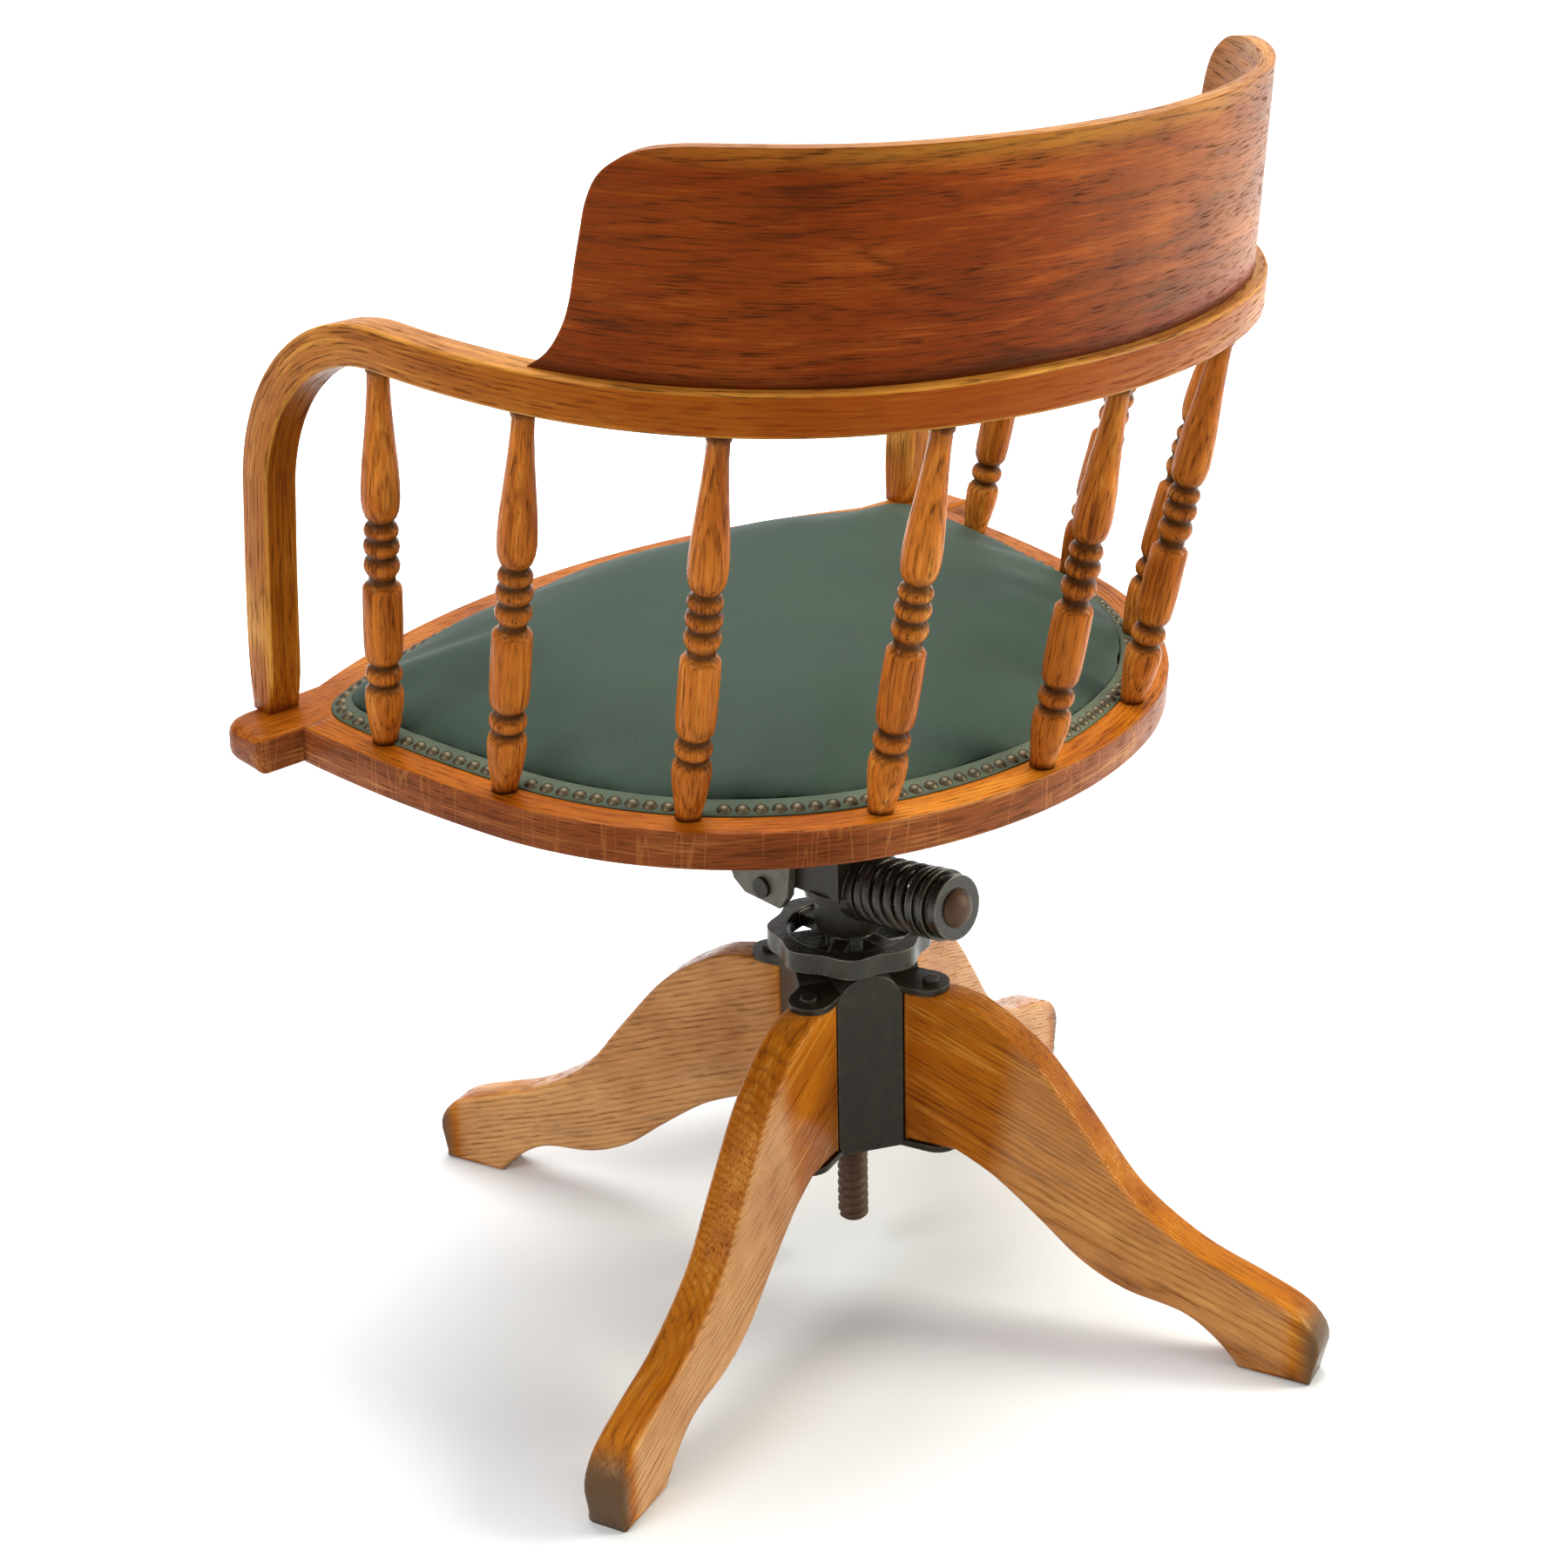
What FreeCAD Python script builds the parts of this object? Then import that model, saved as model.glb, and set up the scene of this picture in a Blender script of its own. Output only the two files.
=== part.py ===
"""Bankers swivel chair in millimetres: origin on the floor under the column, +Z up, front towards -Y."""

import math
import os

import FreeCAD, Part

V = FreeCAD.Vector
UP = V(0, 0, 1)
ACROSS = V(1, 0, 0)

# Clearances
BORE_GAP = 0.05
SIDE_GAP = 0.5
FREE_GAP = 0.3
FAR = 400.0  # how far the cutting blocks reach past the chair

# Base: four sawn legs let into a cast hub
LEG_TURN = 17.0
LEG_T = 25.4
LEG_ROOT = 41.7
LEG_TOP_Z = 204.0
LEG_LOW_Z = 102.0
TOE_R = 305.0
LEG_UPPER = [(70, LEG_TOP_Z), (92, 198), (127, 174.5), (160, 135.5), (190, 98), (230, 71),
             (268, 57), (295, 46), (307, 34), (310, 24)]
HEEL_R = 261.4
LEG_LOWER = [(77, LEG_LOW_Z), (102, 90), (132, 68), (160, 46), (189, 33.5), (225, 28),
             (247, 15), (HEEL_R, 0)]
LEG_NAMES = ["leg_left", "leg_back", "leg_right", "leg_front"]
FLANGE_T = 4.0
FLANGE_W = 28.0
UPPER_LOBE_R = 66.0
LOWER_LOBE_R = 73.0
CROWN_LOW_Z = 198.0
CROWN_Z = 218.0
HUB_TOP_Z = 220.0
HUB_BOSS_R = 24.0
LEG_SCREW_AT = 55.0
LEG_SCREW = (2.5, 18.0, 5.0, 3.0)

# Column: washer, hand wheel, screw
SCREW_R = 9.6
SCREW_LOW_Z = 29.5
SCREW_TOP_Z = 254.0
SCREW_CHAMFER = 2.5
WASHER_T = 2.0
WASHER_R = 24.0
WHEEL_T = 13.0
WHEEL_BOSS_R = 16.5
WHEEL_RIM_IN = 38.0
WHEEL_LOBE_R = 50.0
WHEEL_VALLEY_R = 45.5
WHEEL_LOBES = 8
WHEEL_SPOKES = 6
SPOKE_W = 10.0
SPOKE_T = 8.0

# Tilt mechanism
COLLAR_R = 21.0
COLLAR_TOP_Z = 258.0
FLANGE_R = 27.0
BODY_HALF = 25.0
BODY_Y = (-30.0, 15.0)
BODY_LOW_Z = 264.0
BODY_TOP_Z = 292.0
EAR_IN = 14.0
PIVOT = (-59.0, 331.0)
PIVOT_R = 6.0
PIVOT_BOSS_R = 14.0
PIN = (-42.0, 258.0)
PIN_R = 5.0
PIN_HEAD = (6.5, 3.0)
ROD_END = (88.0, 274.0)
ROD_R = 4.8
EYE_R = 9.0
EYE_W = 16.0
EYE_GAP = 0.6
SEAT_DISC_R = 21.0
DISC_S = (10.0, 22.0)
SPRING_S = (22.0, 66.0)
SPRING_OUT_R = 21.5
SPRING_WIRE_R = 3.2
SPRING_TURNS = 4
KNOB_S = (66.0, 88.0)
KNOB_R = 21.5
KNOB_BORE_R = 5.0
ROD_TIP = 3.0
CAP_R = 12.0
CAP_T = 7.0
CHEEK_T = 6.0
IRON_W = 32.0
IRON_T = 6.0
IRON_Y = (-232.0, 128.0)
IRON_SCREW = (2.2, 15.0, 4.4, 2.0)

# Seat, built level and raked back about the line through the column at the frame's top face
RAKE = 3.9
SEAT_Z = 391.0
SEAT_T = 22.0
SEAT_D = dict(back=160.5, rb=318.0, a1=70.0, rc=226.0, a2=12.5, rs=765.0)
SEAT_RIM = 60.0
SEAT_SPLIT_Y = -163.0
FRONT_Y = -252.0
FRONT_R = 569.0
EAR_X = 299.0
EAR_FRONT_Y = -204.0
EAR_ROUND = (17.0, 6.0)
BOARD_T = 5.0
BOARD_INSET = 42.0
PAD_CORNER_R = 34.0
PAD_INSET = 27.0
PAD_CROWN = 29.0
PAD_SHOULDER = 105.0
PAD_STEPS = 6

# Bow and back panel
BOW_Z = 616.5
BOW_W = 21.0
BOW_H = 22.4
BOW_D = dict(back=182.0, rb=352.5, a1=68.0, rc=203.0, a2=12.5, rs=407.0)
BEND_Y = -76.0
BEND_R = 117.9
POST_FOOT = (9.2, 5.4, 21.0)
PANEL_OUT = 3.0
PANEL_T = 9.0
PANEL_TOP_Z = 753.0
PANEL_END = [(18, BOW_Z + BOW_H), (34, 655), (42, 690), (47, 717), (56, 736), (72, 747.5), (112, PANEL_TOP_Z)]

# Spindles of the sitter's left side, the fifth in the middle: the foot's share of the seat's outline,
# its inset, and the head's share of the bow's, both counted from the middle of the back
SPINDLES = [(0.8963, 19.5, 0.8008), (0.6966, 14.5, 0.6107), (0.4658, 18.5, 0.4229), (0.2392, 13.0, 0.2148),
            (0.0, 11.0, 0.0)]
TURNING = [(6.5, 0.0), (6.0, 0.03), (8.0, 0.17), (10.4, 0.32), (6.6, 0.39), (9.6, 0.42), (9.6, 0.53),
           (6.6, 0.557), (10.8, 0.575), (10.8, 0.755), (7.0, 0.782), (10.4, 0.805), (7.0, 0.835),
           (10.7, 0.85), (7.0, 1.0)]
TENON_TOP = (5.0, 12.0)
TENON_LOW = (6.0, 14.0)

WHEEL_LOW_Z = HUB_TOP_Z + WASHER_T
ROD_LEN = math.dist(PIN, ROD_END)
ROD_DIR = V(0, (ROD_END[0] - PIN[0]) / ROD_LEN, (ROD_END[1] - PIN[1]) / ROD_LEN)
ROD_ZERO = V(0, PIN[0], PIN[1]) - ROD_DIR * (PIN[0] / ROD_DIR.y)


def box(x0, x1, y0, y1, z0, z1):
    return Part.makeBox(x1 - x0, y1 - y0, z1 - z0, V(x0, y0, z0))


def rod(radius, start, way, length):
    return Part.makeCylinder(radius, length, start, way)


def post(radius, z0, z1, x=0.0, y=0.0):
    return Part.makeCylinder(radius, z1 - z0, V(x, y, z0))


def along_rod(s):
    return ROD_ZERO + ROD_DIR * s


def turned(shape, degrees):
    other = shape.copy()
    other.rotate(V(0, 0, 0), UP, degrees)
    return other


def mirrored(shape):
    return shape.mirror(V(0, 0, 0), ACROSS)


def raked(shape):
    other = shape.copy()
    other.rotate(V(0, 0, SEAT_Z), ACROSS, -RAKE)
    return other


def side_plate(points, x0, x1):
    """A plate whose outline is drawn in y and z."""
    wire = Part.makePolygon([V(x0, y, z) for y, z in points + points[:1]])
    return Part.Face(wire).extrude(V(x1 - x0, 0, 0))


def save(name, shape):
    if not shape.isValid() or not shape.Solids:
        raise SystemExit(name + " isn't a sound solid")
    whole = shape.Solids[0] if len(shape.Solids) == 1 else Part.makeCompound(shape.Solids)
    whole.exportStep("parts/" + name + ".step")
    b = whole.BoundBox
    print(f"{name:18s} {len(whole.Solids)} solid  x {b.XMin:7.1f} {b.XMax:7.1f}  y {b.YMin:7.1f} {b.YMax:7.1f}"
          f"  z {b.ZMin:7.1f} {b.ZMax:7.1f}")


def polar(center, radius, degrees):
    a = math.radians(degrees)
    return V(center[0] + radius * math.cos(a), center[1] + radius * math.sin(a), 0)


def arc(center, radius, a0, a1):
    return Part.Arc(polar(center, radius, a0), polar(center, radius, (a0 + a1) / 2),
                    polar(center, radius, a1)).toShape()


def d_centres(d):
    back = (0.0, d["back"] - d["rb"])
    corner = polar(back, d["rb"] - d["rc"], d["a1"])
    side = polar((corner.x, corner.y), d["rc"] - d["rs"], d["a2"])
    return back, (corner.x, corner.y), (side.x, side.y)


def half_d(d, inset, a_end):
    """The arcs of the left half, from the middle of the back to the side's end."""
    back, corner, side = d_centres(d)
    return [arc(back, d["rb"] - inset, 90, d["a1"]), arc(corner, d["rc"] - inset, d["a1"], d["a2"]),
            arc(side, d["rs"] - inset, d["a2"], a_end)]


def side_end(d, inset, y_end):
    side = d_centres(d)[2]
    return math.degrees(math.asin((y_end - side[1]) / (d["rs"] - inset)))


def closed_face(edges):
    return Part.Face(Part.Wire(Part.__sortEdges__(edges)))


def both(edges):
    return edges + [mirrored(e) for e in edges]


def d_face(d, inset, y_end):
    """The area inside the outline, closed by a straight line at y_end."""
    edges = half_d(d, inset, side_end(d, inset, y_end))
    tip = edges[-1].Vertexes[-1].Point
    return closed_face(both(edges) + [Part.makeLine(tip, V(-tip.x, tip.y, 0))])


def slab(face, z0, z1):
    face = face.copy()
    face.translate(V(0, 0, z0))
    return face.extrude(V(0, 0, z1 - z0))


def d_slab(d, inset, y_end, z0, z1):
    return slab(d_face(d, inset, y_end), z0, z1)


def corner_centre(c1, r1, c2, r2):
    """Where circles round c1 and c2 cross, on the front left."""
    gap = math.dist(c1, c2)
    a = (r1 * r1 - r2 * r2 + gap * gap) / (2 * gap)
    h = math.sqrt(r1 * r1 - a * a)
    ux, uy = (c2[0] - c1[0]) / gap, (c2[1] - c1[1]) / gap
    spots = [(c1[0] + a * ux - s * h * uy, c1[1] + a * uy + s * h * ux) for s in (1, -1)]
    return min(spots, key=lambda p: p[1] - p[0])


def heading(start, end):
    return math.degrees(math.atan2(end[1] - start[1], end[0] - start[0]))


def cushion_wire(inset, z):
    side = d_centres(SEAT_D)[2]
    front = (0.0, FRONT_Y + FRONT_R)
    spot = corner_centre(side, SEAT_D["rs"] - inset - PAD_CORNER_R, front, FRONT_R - inset - PAD_CORNER_R)
    a_side, a_front = heading(side, spot), heading(front, spot)
    halves = half_d(SEAT_D, inset, a_side) + [arc(spot, PAD_CORNER_R, a_side, a_front)]
    edges = both(halves[1:]) + [arc((0.0, SEAT_D["back"] - SEAT_D["rb"]), SEAT_D["rb"] - inset,
                                    SEAT_D["a1"], 180 - SEAT_D["a1"]),
                                arc(front, FRONT_R - inset, a_front, -180 - a_front)]
    wire = Part.Wire(Part.__sortEdges__(edges))
    wire.translate(V(0, 0, z))
    return wire


def make_leg(turn):
    top = [V(r, 0, z) for r, z in LEG_UPPER]
    low = [V(r, 0, z) for r, z in LEG_LOWER]
    upper, lower = Part.BSplineCurve(), Part.BSplineCurve()
    upper.interpolate(Points=top, InitialTangent=V(1, 0, 0), FinalTangent=V(0, 0, -1))
    lower.interpolate(Points=low, InitialTangent=V(1, 0, 0), FinalTangent=V(1, 0, -1.3))
    corners = [low[0], V(LEG_ROOT, 0, LEG_LOW_Z), V(LEG_ROOT, 0, LEG_TOP_Z), top[0]]
    edges = [Part.makeLine(a, b) for a, b in zip(corners, corners[1:])]
    edges += [upper.toShape(), Part.makeLine(top[-1], V(TOE_R, 0, 0)),
              Part.makeLine(V(TOE_R, 0, 0), low[-1]), lower.toShape()]
    face = closed_face(edges)
    face.translate(V(0, -LEG_T / 2, 0))
    leg = face.extrude(V(0, LEG_T, 0))
    for z, way in ((LEG_TOP_Z, -1), (LEG_LOW_Z, 1)):
        leg = leg.cut(rod(LEG_SCREW[0], V(LEG_SCREW_AT, 0, z), V(0, 0, way), LEG_SCREW[1] - FLANGE_T))
    return turned(leg, turn)


def leg_screw_pair(turn):
    shank, length, head, thick = LEG_SCREW
    pair = []
    for z, way in ((LEG_TOP_Z + FLANGE_T, -1), (LEG_LOW_Z - FLANGE_T, 1)):
        seat = V(LEG_SCREW_AT, 0, z)
        pair.append(turned(rod(shank, seat, V(0, 0, way), length).fuse(
            rod(head, seat, V(0, 0, -way), thick)), turn))
    return pair


def lobes(reach, z):
    """Flange plate with a rounded arm over each leg."""
    plate = post(HUB_BOSS_R + 6, z, z + FLANGE_T)
    for turn in (0, 90):
        bar = box(-reach + FLANGE_W / 2, reach - FLANGE_W / 2, -FLANGE_W / 2, FLANGE_W / 2, z, z + FLANGE_T)
        ends = [post(FLANGE_W / 2, z, z + FLANGE_T, s * (reach - FLANGE_W / 2)) for s in (1, -1)]
        plate = plate.fuse([turned(s, turn) for s in [bar] + ends])
    return plate


def make_hub():
    half, cut = LEG_T / 2, LEG_ROOT
    ring = [(cut, -half), (cut, half), (half, cut), (-half, cut), (-cut, half), (-cut, -half), (-half, -cut),
            (half, -cut)]
    outline = Part.makePolygon([V(x, y, 0) for x, y in ring + ring[:1]])
    hub = slab(Part.Face(outline), LEG_LOW_Z - FLANGE_T, LEG_TOP_Z)
    reach = (cut + half) / math.sqrt(2)
    width = (cut - half) / math.sqrt(2)
    for turn in (45, 135):
        points = [V(-reach, -width, CROWN_LOW_Z), V(-reach, 0, CROWN_Z), V(-reach, width, CROWN_LOW_Z)]
        arch = Part.Arc(*points).toShape()
        lid = closed_face([arch, Part.makeLine(points[0], points[2])]).extrude(V(2 * reach, 0, 0))
        hub = hub.fuse(turned(lid, turn))
    hub = hub.fuse([lobes(UPPER_LOBE_R, LEG_TOP_Z), lobes(LOWER_LOBE_R, LEG_LOW_Z - FLANGE_T),
                    post(HUB_BOSS_R, LEG_TOP_Z, HUB_TOP_Z)])
    hub = hub.cut(post(SCREW_R + BORE_GAP, 0, HUB_TOP_Z + 1))
    for k in range(4):
        for z in (LEG_TOP_Z, LEG_LOW_Z - FLANGE_T):
            hole = post(LEG_SCREW[0], z, z + FLANGE_T, LEG_SCREW_AT)
            hub = hub.cut(turned(hole, 90 * k))
    return turned(hub.removeSplitter(), LEG_TURN)


def make_wheel():
    points = []
    count = 4 * WHEEL_LOBES
    for k in range(count):
        a = 2 * math.pi * k / count
        middle, swing = (WHEEL_LOBE_R + WHEEL_VALLEY_R) / 2, (WHEEL_LOBE_R - WHEEL_VALLEY_R) / 2
        r = middle + swing * math.cos(WHEEL_LOBES * a)
        points.append(V(r * math.cos(a), r * math.sin(a), 0))
    rim = Part.BSplineCurve()
    rim.interpolate(Points=points, PeriodicFlag=True)
    z0, z1 = WHEEL_LOW_Z, WHEEL_LOW_Z + WHEEL_T
    wheel = slab(closed_face([rim.toShape()]), z0, z1).cut(post(WHEEL_RIM_IN, z0, z1))
    wheel = wheel.fuse(post(WHEEL_BOSS_R, z0, z1))
    mid = (z0 + z1) / 2
    for k in range(WHEEL_SPOKES):
        bar = box(WHEEL_BOSS_R - 2, WHEEL_RIM_IN + 2, -SPOKE_W / 2, SPOKE_W / 2, mid - SPOKE_T / 2,
                  mid + SPOKE_T / 2)
        wheel = wheel.fuse(turned(bar, 30 + 360 * k / WHEEL_SPOKES))
    return wheel.cut(post(SCREW_R + BORE_GAP, z0 - 1, z1 + 1))


def make_screw():
    body = post(SCREW_R, SCREW_LOW_Z, SCREW_TOP_Z)
    tip = [e for e in body.Edges if abs(e.BoundBox.ZMax - SCREW_LOW_Z) < 0.01]
    return body.makeChamfer(SCREW_CHAMFER, tip)


def ear_outline():
    """Both casting ears: from the body's top forward and up round the pivot."""
    y, z = PIVOT
    r = PIVOT_BOSS_R
    round_end = [(y + r * math.cos(math.radians(a)), z + r * math.sin(math.radians(a)))
                 for a in range(45, 246, 20)]
    return [(BODY_Y[1], BODY_TOP_Z)] + round_end + [(BODY_Y[0], BODY_TOP_Z - 12), (BODY_Y[1], BODY_TOP_Z - 12)]


def make_casting():
    low = WHEEL_LOW_Z + WHEEL_T + 2 * SIDE_GAP
    shape = post(COLLAR_R, low, COLLAR_TOP_Z).fuse(post(FLANGE_R, COLLAR_TOP_Z, BODY_LOW_Z))
    shape = shape.fuse(box(-BODY_HALF, BODY_HALF, BODY_Y[0], BODY_Y[1], BODY_LOW_Z - 2, BODY_TOP_Z))
    shape = shape.cut(box(-EAR_IN, EAR_IN, BODY_Y[0] - 1, BODY_Y[1] + 1, BODY_TOP_Z - 12, BODY_TOP_Z + 1))
    ears = [side_plate(ear_outline(), s * EAR_IN, s * BODY_HALF) for s in (1, -1)]
    disc = rod(SEAT_DISC_R, along_rod(DISC_S[0]), ROD_DIR, DISC_S[1] - DISC_S[0])
    nose = rod(ROD_R + 5, along_rod(-28), ROD_DIR, 40)
    shape = shape.fuse(ears + [disc, nose])
    shape = shape.cut(rod(ROD_R + BORE_GAP * 2, along_rod(-60), ROD_DIR, 120))
    shape = shape.cut(post(SCREW_R, low - 1, SCREW_TOP_Z))
    bore = rod(PIVOT_R, V(-BODY_HALF - 1, *PIVOT), ACROSS, 2 * BODY_HALF + 2)
    return shape.cut(bore).removeSplitter()


def cross_bar(radius, half, at):
    return rod(radius, V(-half, *at), ACROSS, 2 * half)


def make_rod():
    eye = cross_bar(EYE_R, EYE_W / 2, PIN)
    start = V(0, *PIN)
    bar = rod(ROD_R, start, ROD_DIR, ROD_LEN + ROD_TIP)
    return bar.fuse(eye).cut(cross_bar(PIN_R + EYE_GAP, EYE_W, PIN)).removeSplitter()


def make_knob():
    knob = rod(KNOB_R, along_rod(KNOB_S[0]), ROD_DIR, 5)
    for s0, length, r in ((5, 4, KNOB_R - 3), (9, 4, KNOB_R), (13, 3, KNOB_R - 4), (16, 6, KNOB_R - 2)):
        knob = knob.fuse(rod(r, along_rod(KNOB_S[0] + s0), ROD_DIR, length))
    return knob.cut(rod(KNOB_BORE_R, along_rod(KNOB_S[0] - 1), ROD_DIR, KNOB_S[1]))


def make_cap():
    ball = CAP_R * CAP_R / (2 * CAP_T) + CAP_T / 2
    low = KNOB_S[1] + FREE_GAP
    centre = along_rod(low + CAP_T - ball)
    dome = Part.makeSphere(ball, centre).common(rod(CAP_R, along_rod(low), ROD_DIR, CAP_T + 1))
    return dome.cut(rod(ROD_R, V(0, *PIN), ROD_DIR, ROD_LEN + ROD_TIP))


def coil_points(turns, radius, length):
    steps = 4 * turns
    return [V(radius * math.cos(math.pi / 2 * k), radius * math.sin(math.pi / 2 * k), length * k / steps)
            for k in range(steps + 1)]


def make_spring():
    radius = SPRING_OUT_R - SPRING_WIRE_R
    length = SPRING_S[1] - SPRING_S[0] - 2 * SPRING_WIRE_R - 2 * FREE_GAP
    helix = Part.makeHelix(length / SPRING_TURNS, length, radius)
    start = V(radius, 0, 0)
    way = V(0, 2 * math.pi * radius, length / SPRING_TURNS)
    ring = Part.Wire([Part.Circle(start, way, SPRING_WIRE_R).toShape()])
    tube = Part.Wire(helix).makePipeShell([ring], True, False)
    rise = length / SPRING_TURNS
    gap = rise * math.cos(math.atan2(rise, 2 * math.pi * radius)) - 2 * SPRING_WIRE_R
    print("spring self-gap", round(gap, 2), "mm")
    tube.rotate(V(0, 0, 0), ACROSS, -90 + math.degrees(math.asin(ROD_DIR.z)))
    tube.translate(along_rod(SPRING_S[0] + SPRING_WIRE_R + FREE_GAP))
    return tube


def make_iron():
    """The sitter's left iron: cheek plate hanging from a flange under the seat."""
    x0 = BODY_HALF + SIDE_GAP
    top = SEAT_Z - SEAT_T
    cheek = side_plate([(-82, top), (-76, 326), (-66, 268), (-58, 252), (-48, 246), (-18, 246), (-12, 256),
                        (-10, 330), (24, top)], x0, x0 + CHEEK_T)
    flange = box(x0, x0 + IRON_W, IRON_Y[0], IRON_Y[1], top - IRON_T, top)
    return cheek.fuse(flange).removeSplitter()


def iron_screws():
    shank, length, head, thick = IRON_SCREW
    x = BODY_HALF + SIDE_GAP + IRON_W * 0.62
    low = SEAT_Z - SEAT_T - IRON_T
    made = []
    for y in (IRON_Y[0] + 14, IRON_Y[0] + 50, IRON_Y[1] - 14):
        for s in (1, -1):
            made.append(post(shank, low, low + length, s * x, y).fuse(post(head, low - thick, low, s * x, y)))
    return made


def on_outline(d, inset, y_end, share):
    """The point of the left half that has this share of its length behind it."""
    edges = half_d(d, inset, side_end(d, inset, y_end))
    left = share * sum(e.Length for e in edges)
    for e in edges:
        if left <= e.Length:
            break
        left -= e.Length
    return e.valueAt(e.getParameterByLength(min(left, e.Length)))


def spindle_axis(index, side):
    foot_share, inset, head_share = SPINDLES[index]
    foot = on_outline(SEAT_D, inset, SEAT_SPLIT_Y, foot_share)
    head = on_outline(BOW_D, 0, BEND_Y - BEND_R, head_share)
    return V(side * foot.x, foot.y, SEAT_Z), V(side * head.x, head.y, BOW_Z)


def make_spindle(index, side, blank):
    foot, head = spindle_axis(index, side)
    axis = head - foot
    length = axis.Length
    extra = 3.0
    points = [(r, length * (1 - t)) for r, t in TURNING]
    points = [(points[0][0], length + extra)] + points + [(points[-1][0], -extra)]
    loop = [(0, length + extra)] + points + [(0, -extra)]
    face = Part.Face(Part.makePolygon([V(r, 0, z) for r, z in loop + loop[:1]]))
    body = face.revolve(V(0, 0, 0), UP, 360)
    place = FreeCAD.Placement(foot, FreeCAD.Rotation(UP, axis))
    body = body.transformGeometry(place.toMatrix())
    body = body.common(box(-FAR, FAR, -FAR, FAR, SEAT_Z, BOW_Z)).cut(blank)
    return body.fuse([tenon(foot, head, -1), tenon(foot, head, 1)]).removeSplitter()


def tenon(foot, head, end):
    axis = head - foot
    axis.normalize()
    if end > 0:
        return rod(TENON_TOP[0], head - axis * 4, axis, TENON_TOP[1] + 4)
    return rod(TENON_LOW[0], foot + axis * 4, -axis, TENON_LOW[1] + 4)


def all_tenons(end):
    made = []
    for index in range(5):
        for side in (1, -1) if index < 4 else (1,):
            made.append(tenon(*spindle_axis(index, side), end))
    return made


def screw_holes():
    return [post(IRON_SCREW[0], s.BoundBox.ZMin, s.BoundBox.ZMax, s.BoundBox.Center.x, s.BoundBox.Center.y)
            for s in iron_screws()]


def make_ring():
    low, top = SEAT_Z - SEAT_T, SEAT_Z
    ring = d_slab(SEAT_D, 0, SEAT_SPLIT_Y, low, top)
    ring = ring.cut(d_slab(SEAT_D, SEAT_RIM, SEAT_SPLIT_Y - 20, low - 1, top + 1))
    return ring.cut(all_tenons(-1) + screw_holes())


def make_front_rail():
    low, top = SEAT_Z - SEAT_T, SEAT_Z
    front = (0.0, FRONT_Y + FRONT_R)
    a0 = -90 + math.degrees(math.acos((front[1] - EAR_FRONT_Y) / FRONT_R))
    start = polar(front, FRONT_R, a0)
    r, q = EAR_ROUND
    near = (EAR_X - r, EAR_FRONT_Y + r)
    far = (EAR_X - q, SEAT_SPLIT_Y - q)
    edges = [Part.makeLine(start, V(near[0], EAR_FRONT_Y, 0)), arc(near, r, -90, 0),
             Part.makeLine(V(EAR_X, near[1], 0), V(EAR_X, far[1], 0)), arc(far, q, 0, 90)]
    edges = both(edges) + [arc(front, FRONT_R, a0, -180 - a0),
                           Part.makeLine(V(far[0], SEAT_SPLIT_Y, 0), V(-far[0], SEAT_SPLIT_Y, 0))]
    return slab(closed_face(edges), low, top).cut(screw_holes())


def make_board():
    wire = cushion_wire(BOARD_INSET, SEAT_Z)
    return Part.Face(wire).extrude(V(0, 0, BOARD_T))


def make_pad():
    wires = []
    for k in range(PAD_STEPS):
        a = math.radians(80 * k / (PAD_STEPS - 1))
        wires.append(cushion_wire(PAD_INSET + PAD_SHOULDER * (1 - math.cos(a)), SEAT_Z + PAD_CROWN * math.sin(a)))
    pad = Part.makeLoft(wires, True, False)
    return pad.cut(make_board())


def bow_blank():
    half, top = BOW_W / 2, BOW_Z + BOW_H
    band = d_slab(BOW_D, -half, BEND_Y, BOW_Z, top).cut(d_slab(BOW_D, half, BEND_Y, BOW_Z - 1, top + 1))
    x = d_centres(BOW_D)[2][0] + BOW_D["rs"] * math.cos(math.radians(side_end(BOW_D, 0, BEND_Y)))
    middle = BOW_Z + BOW_H / 2
    section = Part.makePolygon([V(x - half, BEND_Y, BOW_Z), V(x + half, BEND_Y, BOW_Z),
                                V(x + half, BEND_Y, top), V(x - half, BEND_Y, top), V(x - half, BEND_Y, BOW_Z)])
    bend = Part.Face(section).revolve(V(0, BEND_Y, middle - BEND_R), ACROSS, 90)
    y = BEND_Y - BEND_R
    front, rear, neck = POST_FOOT
    low, high = SEAT_Z + neck, middle - BEND_R
    leg = side_plate([(y - front, SEAT_Z), (y + rear, SEAT_Z), (y + BOW_H / 2, low), (y + BOW_H / 2, high),
                      (y - BOW_H / 2, high), (y - BOW_H / 2, low)], x - half, x + half)
    arm = bend.fuse(leg)
    return band.fuse([arm, mirrored(arm)]).removeSplitter()


def make_panel():
    base = BOW_Z + BOW_H
    band = d_slab(BOW_D, -PANEL_OUT, 0, base, PANEL_TOP_Z)
    band = band.cut(d_slab(BOW_D, PANEL_T - PANEL_OUT, -SEAT_RIM, base - 1, PANEL_TOP_Z + 1))
    outline = PANEL_END + [(FAR, PANEL_TOP_Z), (FAR, base)]
    return band.common(side_plate(outline, -FAR, FAR))


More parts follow.
